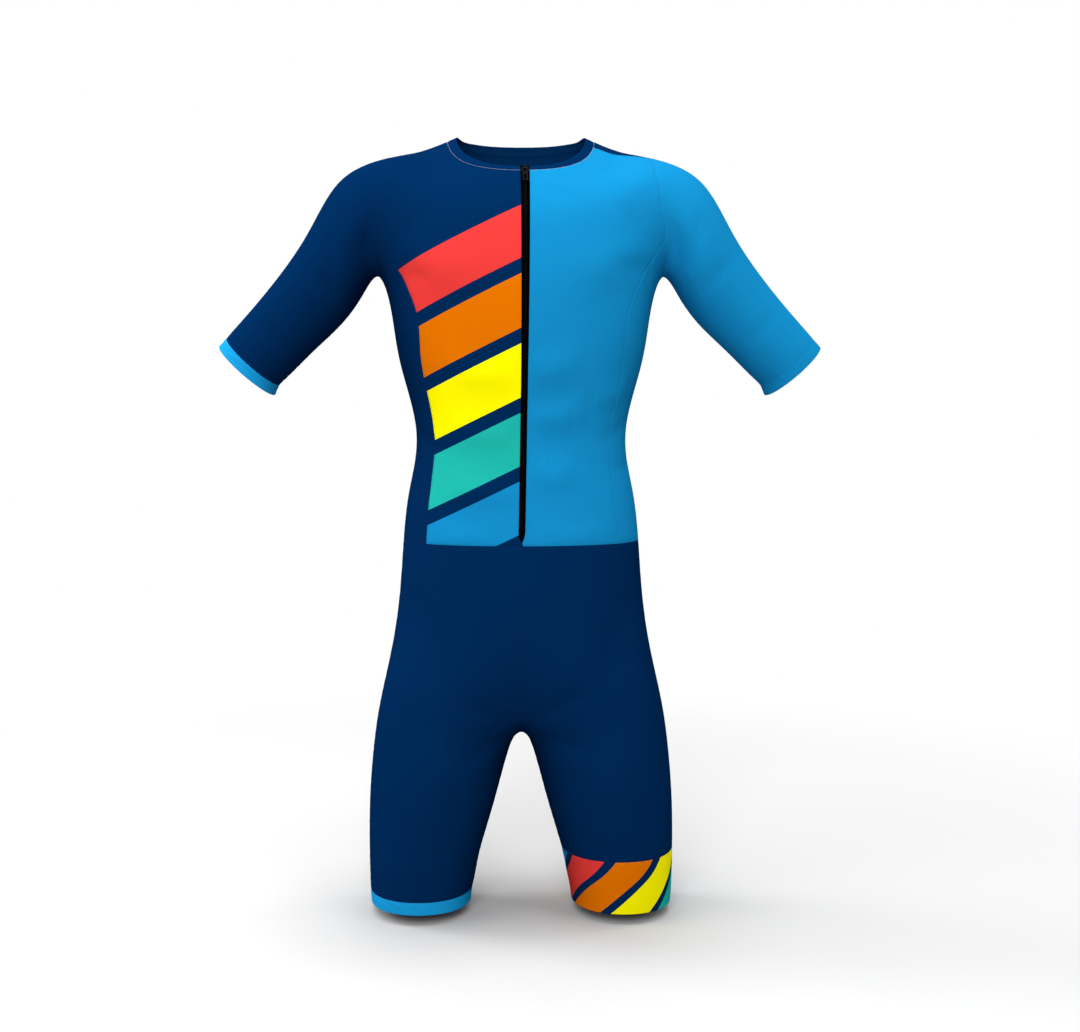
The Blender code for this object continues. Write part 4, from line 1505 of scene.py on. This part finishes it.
@dataclass
class Stitcher:
    """Sets stitches along lines with Geometry Nodes."""

    thread_radius: float = 0.19 * MM
    lift: float = 0.02 * MM
    sides: int = 6
    rings: int = 4
    flatness: float = 0.8
    jitter: float = 0.06
    seed: int = 7
    single_share: float = 0.78
    row_share: float = 0.8
    cross_share: float = 1.7
    coil_length: float = 3.4 * MM

    def grains(self, plan: SeamPlan) -> list[Grain]:
        """The threads of one stitch of a plan, in metres and degrees."""
        spread, pitch = plan.spread * MM, plan.pitch * MM
        if plan.stitch is Stitch.SINGLE:
            return [Grain(0.0, 0.0, 0.0, pitch * self.single_share)]
        if plan.stitch is Stitch.COIL:
            return [Grain(side * pitch / 4, -side * spread, 90.0, self.coil_length) for side in (-1, 1)]
        rows = [Grain(0.0, side * spread, 0.0, pitch * self.row_share) for side in (-1, 1)]
        if plan.stitch is Stitch.FLATLOCK:
            slant = math.degrees(math.atan2(2 * spread, pitch / 2))
            rows.append(Grain(0.0, 0.0, slant, self.cross_share * spread))
        return rows

    def grown_stitch(self, nodes: NodeTree, radius: Wire, plan: SeamPlan) -> Wire:
        """One stitch of a plan, from stretched spheres."""
        ball = {"Segments": self.sides, "Rings": self.rings, "Radius": radius}
        grain = nodes.out("GeometryNodeMeshUVSphere", ball)
        join = nodes.node("GeometryNodeJoinGeometry")
        for part in self.grains(plan):
            stretch = (part.length / (2 * self.thread_radius), 1.0, self.flatness)
            drawn = nodes.out("GeometryNodeTransform", {"Geometry": grain, "Scale": stretch})
            move = {
                "Geometry": drawn,
                "Rotation": (0.0, 0.0, math.radians(part.degrees)),
                "Translation": (part.along, part.across, 0.0),
            }
            nodes.tree.links.new(nodes.out("GeometryNodeTransform", move).socket, join.inputs[0])
        return Wire(nodes, join.outputs[0])

    def tree(self, plan: SeamPlan) -> bpy.types.GeometryNodeTree:
        """The stitching tree, with its sizes as named inputs.

        Args:
            plan: The seams' stitch.

        Returns:
            The tree.
        """
        group = bpy.data.node_groups.new(f"{plan.piece}_tree", "GeometryNodeTree")
        nodes = NodeTree(group)
        for name, kind in TREE_INPUTS.items():
            group.interface.new_socket(name, in_out="INPUT", socket_type=f"NodeSocket{kind}")
        group.interface.new_socket("Geometry", in_out="OUTPUT", socket_type="NodeSocketGeometry")
        entry = nodes.node("NodeGroupInput")
        given = {socket.name: Wire(nodes, socket) for socket in entry.outputs if socket.name}
        line = nodes.out("GeometryNodeMeshToCurve", {"Mesh": given["Geometry"]})
        spacing = {"Curve": line, "Length": given["Pitch"]}
        spaced = nodes.out("GeometryNodeResampleCurve", spacing, mode="LENGTH")
        away = nodes.out("GeometryNodeInputNamedAttribute", {"Name": "away"}, data_type="FLOAT_VECTOR")
        upright = nodes.out("FunctionNodeAlignRotationToVector", {"Vector": away}, axis="Z")
        heading = {"Rotation": upright, "Vector": nodes.out("GeometryNodeInputTangent")}
        facing = nodes.out("FunctionNodeAlignRotationToVector", heading, axis="X", pivot_axis="Z")
        span = {2: -self.jitter, 3: self.jitter, "Seed": given["Seed"]}
        jitter = nodes.out("FunctionNodeRandomValue", span, 1, data_type="FLOAT")
        spin = {"Rotation": facing, "Rotate By": nodes.out("ShaderNodeCombineXYZ", {2: jitter})}
        turned = nodes.out("FunctionNodeRotateRotation", spin, rotation_space="LOCAL")
        rise = nodes.out("ShaderNodeVectorMath", {0: away, "Scale": given["Lift"]}, operation="SCALE")
        lifted = nodes.out("GeometryNodeSetPosition", {"Geometry": spaced, "Offset": rise})
        stitch = self.grown_stitch(nodes, given["Thread Radius"], plan)
        placing = {"Points": lifted, "Instance": stitch, "Rotation": turned}
        real = nodes.out(
            "GeometryNodeRealizeInstances", {0: nodes.out("GeometryNodeInstanceOnPoints", placing)}
        )
        dressed = nodes.out("GeometryNodeSetMaterial", {"Geometry": real, "Material": given["Thread"]})
        nodes.node("NodeGroupOutput", {0: dressed})
        return group

    def sew(
        self, plan: SeamPlan, line: bpy.types.Object, thread: bpy.types.Material
    ) -> bpy.types.Object:
        """Stitches along a line, as a plain mesh that takes the line's place."""
        inputs = {
            "Pitch": plan.pitch * MM,
            "Thread Radius": self.thread_radius,
            "Lift": self.lift,
            "Seed": self.seed,
            "Thread": thread,
        }
        return grown(line, self.tree(plan), inputs, plan.piece)


def grown(
    source: bpy.types.Object,
    group: bpy.types.GeometryNodeTree,
    inputs: dict[str, object],
    name: str,
) -> bpy.types.Object:
    """What a Geometry Nodes tree grows on an object, as a plain mesh object in its place.

    Args:
        source: The object that the tree works on, which is removed.
        group: The tree.
        inputs: A value for each of the tree's named inputs.
        name: The new piece's name.

    Returns:
        The new piece.
    """
    change = source.modifiers.new("grow", "NODES")
    change.node_group = group
    for item in group.interface.items_tree:
        if item.item_type == "SOCKET" and item.in_out == "INPUT" and item.name in inputs:
            change[item.identifier] = inputs[item.name]
    evaluated = source.evaluated_get(bpy.context.evaluated_depsgraph_get())
    mesh = bpy.data.meshes.new_from_object(evaluated)
    mesh.name = name
    mesh.shade_smooth()
    bpy.data.objects.remove(source, do_unlink=True)
    return linked(name, mesh)


# ------------------------------------------------------------------ zip


class Station(NamedTuple):
    """A place on the zip: its distance from the top, its point and the cloth's normal."""

    distance: float
    point: Vector
    normal: Vector


@dataclass
class Zip:
    """The front zip: a woven tape that lies on the fronts and the coil that closes it."""

    lines: SeamLines
    width: float = 7.3 * MM
    top_width: float = 10.2 * MM
    taper: float = 260.0 * MM
    tip_length: float = 10.0 * MM
    tip_width: float = 1.0 * MM
    foot_z: float = -456.5 * MM
    top_aside: float = 3.2 * MM
    foot_aside: float = -1.0 * MM
    aside_power: float = 2.2
    tape_rise: float = 0.35 * MM
    tape_thickness: float = 0.5 * MM
    columns: int = 6
    coil_pitch: float = 1.3
    coil_spread: float = 0.55
    coil_radius: float = 0.42 * MM
    coil_rise: float = 1.1 * MM
    coil_sides: int = 8
    coil_rings: int = 5
    step: float = 2.5 * MM
    flat: tuple[float, float] = (0.01, 0.42)
    flat_area: float = 0.0033

    def centre_line(self) -> list[tuple[Vector, Vector]]:
        """Points and normals down the front centre, from the neck's edge to the zip's foot."""
        surface = self.lines.surface
        number = surface.seams.index("zip") + 1
        ids = np.unique(surface.edges[surface.edge_seams == number])
        order = ids[np.argsort(-surface.points[ids, 2])]
        line = [(Vector(surface.points[i]), Vector(surface.normals[i])) for i in order]
        return [pair for pair in line if pair[0].z > self.foot_z]

    def stations(self) -> list[Station]:
        """Evenly spaced places down the zip, with its lean."""
        line = self.centre_line()
        distances = [0.0]
        for (start, _), (end, _) in zip(line, line[1:]):
            distances.append(distances[-1] + (end - start).length)
        total = distances[-1]
        count = round(total / self.step)
        found = []
        for number in range(count + 1):
            wanted = total * number / count
            i = min(int(np.searchsorted(distances, wanted, side="right")) - 1, len(line) - 2)
            share = (wanted - distances[i]) / (distances[i + 1] - distances[i])
            point = line[i][0].lerp(line[i + 1][0], share)
            normal = line[i][1].lerp(line[i + 1][1], share).normalized()
            lean = (self.foot_aside - self.top_aside) * (number / count) ** self.aside_power
            found.append(Station(wanted, point + Vector((self.top_aside + lean, 0, 0)), normal))
        return found

    def tape(self, material: bpy.types.Material) -> bpy.types.Object:
        """The tape, with a pointed foot.

        Args:
            material: What it is woven of.

        Returns:
            The tape's object.
        """
        stations = self.stations()
        row = self.columns + 1
        verts, flats = [], []
        for distance, point, normal in stations:
            width = self.width + (self.top_width - self.width) * max(0.0, 1 - distance / self.taper)
            left = stations[-1].distance - distance
            if left < self.tip_length:
                width = self.tip_width + (width - self.tip_width) * math.sqrt(left / self.tip_length)
            for column in range(row):
                offset = width * (column / self.columns - 0.5)
                verts.append(point + normal * self.tape_rise + Vector((offset, 0, 0)))
                flats.append((offset, -distance))
        corners = [i * row + column for i in range(len(stations) - 1) for column in range(self.columns)]
        mesh = bpy.data.meshes.new("zip_tape_weave")
        mesh.from_pydata(verts, [], [(a, a + row, a + row + 1, a + 1) for a in corners])
        flat = mesh.uv_layers.new(name="knit")
        for loop in mesh.loops:
            flat.data[loop.index].uv = flats[loop.vertex_index]
        mesh.materials.append(material)
        mesh.shade_smooth()
        obj = linked("zip_tape_weave", mesh)
        wall = obj.modifiers.new("wall", "SOLIDIFY")
        wall.thickness = self.tape_thickness
        wall.offset = 1.0
        return obj

    def coil(self, material: bpy.types.Material) -> bpy.types.Object:
        """The coil's turns, which lock from the two sides in turn."""
        stations = self.stations()
        kept = [s for s in stations if s.distance < stations[-1].distance - self.tip_length]
        edges = [(i, i + 1) for i in range(len(kept) - 1)]
        points, normals = np.array([s.point for s in kept]), np.array([s.normal for s in kept])
        line = bare_line("coil_line", points, edges, normals)
        plan = SeamPlan("zip_coil", Stitch.COIL, "coil", self.coil_spread, self.coil_pitch)
        winder = Stitcher(self.coil_radius, self.coil_rise, self.coil_sides, self.coil_rings)
        return winder.sew(plan, line, material)


# ------------------------------------------------------------------ studio


class Lamp(NamedTuple):
    """A soft square light: its place and size in metres, and its power in watts."""

    name: str
    place: tuple[float, float, float]
    size: float
    power: float


LAMPS = (
    Lamp("top", (0.0, -0.2, 2.2), 2.4, 55.0),
    Lamp("top_left", (-1.8, -0.6, 1.6), 1.8, 12.0),
    Lamp("front", (-0.3, -2.4, 0.65), 1.2, 48.0),
    Lamp("top_right", (1.6, -1.6, 1.8), 0.8, 6.0),
    Lamp("left", (-2.6, -0.8, 0.7), 0.8, 5.0),
    Lamp("back_left", (-2.4, 0.8, 0.4), 1.0, 34.0),
    Lamp("back_right", (2.4, 0.8, 0.4), 1.0, 12.0),
    Lamp("back", (0.0, 1.8, 1.6), 1.6, 11.0),
)


@dataclass
class Studio:
    """A pale floor, soft light and the camera at the photograph's view."""

    photo_width: int = 1080
    sensor_width: float = 36.0
    focal_pixels: float = 1391.0
    middle_pixel: float = 521.0
    distance: float = 1.6
    camera_z: float = -0.33
    yaw_degrees: float = 1.0
    pitch_degrees: float = 3.743
    clip_end: float = 100.0
    floor_z: float = -0.893
    floor_size: float = 60.0
    floor_grey: float = 0.68
    floor_bounce: float = 0.27
    fade_from: float = 0.55
    fade_to: float = 1.35
    # How far the floor's painted shadow round the hems reaches, and how dark it gets.
    painted_shadow_reach: float = 0.16
    painted_shadow_depth: float = 0.5
    aim: tuple[float, float, float] = (0.0, 0.0, -0.42)
    surround: float = 0.34

    def camera(self) -> None:
        """The camera, with the small shift of the photograph's framing."""
        data = bpy.data.cameras.new("camera")
        data.sensor_width = self.sensor_width
        data.lens = self.focal_pixels / self.photo_width * self.sensor_width
        data.shift_x = (self.photo_width / 2 - self.middle_pixel) / self.photo_width
        data.clip_end = self.clip_end
        camera = linked("camera", data)
        yaw = math.radians(self.yaw_degrees)
        back = Vector((-math.sin(yaw), -math.cos(yaw), 0.0)) * self.distance
        camera.location = back + Vector((0, 0, self.camera_z))
        camera.rotation_euler = (math.radians(90 - self.pitch_degrees), 0.0, -yaw)
        bpy.context.scene.camera = camera

    def floor_paint(self) -> bpy.types.Material:
        """Pale paint with a painted shadow round the suit's hems, fading to plain white far off and
        throwing little light back on the suit.
        """
        material, tree = new_material("floor")
        away = tree.out("ShaderNodeVectorMath", {0: tree.place()}, 1, operation="LENGTH")
        fading = {"Value": away, "From Min": self.fade_from, "From Max": self.fade_to}
        fade = tree.out("ShaderNodeMapRange", fading, interpolation_type="SMOOTHSTEP")
        # Painted shadow: ambient occlusion darkens the floor's colour round the suit's hems.
        painted_shadow = tree.out("ShaderNodeAmbientOcclusion", {"Distance": self.painted_shadow_reach}, "AO")
        tone = painted_shadow * self.painted_shadow_depth + (1 - self.painted_shadow_depth)
        inputs = {"Base Color": tree.scaled((self.floor_grey,) * 3, tone)}
        inputs |= {"Roughness": 1.0, "Specular IOR Level": 0.0}
        paint = tree.out("ShaderNodeBsdfPrincipled", inputs)
        glow = tree.out("ShaderNodeEmission", {"Color": (*WHITE, 1.0), "Strength": 1.0})
        dim = tree.out("ShaderNodeBsdfDiffuse", {"Color": (*(self.floor_bounce,) * 3, 1.0)})
        seen = tree.out("ShaderNodeLightPath", output="Is Camera Ray")
        whole = tree.mixed(seen, dim, tree.mixed(fade, paint, glow))
        tree.node("ShaderNodeOutputMaterial", {"Surface": whole})
        return material

    def floor(self) -> None:
        """A wide floor, a little below the suit's hems."""
        half = self.floor_size / 2
        corners = [(-half, -half, 0), (half, -half, 0), (half, half, 0), (-half, half, 0)]
        mesh = bpy.data.meshes.new("floor")
        mesh.from_pydata(corners, [], [(0, 1, 2, 3)])
        mesh.materials.append(self.floor_paint())
        floor = linked("floor", mesh)
        floor.location = (0, 0, self.floor_z)

    def light(self, lamp: Lamp) -> None:
        """A light that faces the suit's middle."""
        data = bpy.data.lights.new(lamp.name, "AREA")
        data.shape = "SQUARE"
        data.size = lamp.size
        data.energy = lamp.power
        obj = linked(lamp.name, data)
        obj.location = lamp.place
        aim = Vector(self.aim) - Vector(lamp.place)
        obj.rotation_euler = aim.to_track_quat("-Z", "Y").to_euler()

    def world(self) -> None:
        """A white surround, dimmer for the suit than the plain white that the camera sees."""
        world = bpy.data.worlds.new("surround")
        world.use_nodes = True
        bpy.context.scene.world = world
        tree = NodeTree(world.node_tree)
        dim, plain = (
            tree.out("ShaderNodeBackground", {"Color": (*WHITE, 1.0), "Strength": strength})
            for strength in (self.surround, 1.0)
        )
        seen = tree.out("ShaderNodeLightPath", output="Is Camera Ray")
        tree.node("ShaderNodeOutputWorld", {"Surface": tree.mixed(seen, dim, plain)})

    def build(self) -> None:
        """Everything round the suit."""
        bpy.context.scene.view_settings.view_transform = "Standard"
        self.camera()
        self.floor()
        self.world()
        for lamp in LAMPS:
            self.light(lamp)


# ------------------------------------------------------------------ main


def main() -> None:
    """Builds the suit and dresses it, logging its stitches, its panels and the zip's slider and pull.
    """
    logging.basicConfig(level=logging.INFO, format="%(name)s: %(message)s")
    surface = SuitForm().build()
    Relief().apply(surface)
    finishes = {name: finish.build() for name, finish in FINISHES.items()}
    lines = SeamLines(surface)
    stitcher = Stitcher()
    for plan in SEAM_PLANS:
        line = lines.line_object(f"{plan.piece}_line", plan.seams)
        piece = stitcher.sew(plan, line, finishes[plan.thread])
        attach(piece, SUIT_BODY)
        log.info("%s: %d faces", piece.name, len(piece.data.polygons))
    maker = PanelMaker(surface)
    for cut in PANEL_CUTS:
        piece = maker.make(cut, finishes[cut.outside], finishes[cut.inside])
        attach(piece, SUIT_BODY)
        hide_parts(cut.panel)
        log.info("%s: %d faces", piece.name, len(piece.data.polygons))
    zip_ = Zip(lines)
    tape, coil = zip_.tape(finishes["tape"]), zip_.coil(finishes["coil"])
    for piece in (tape, coil):
        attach(piece, SUIT_BODY)
    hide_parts("zip_tape")
    for node in ("zip_slider", "zip_pull"):
        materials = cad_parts[node].data.materials
        materials.clear()
        materials.append(finishes["enamel"])
        log.info("%s: dressed", node)
    Studio().build()


if __name__ == "__main__":
    main()
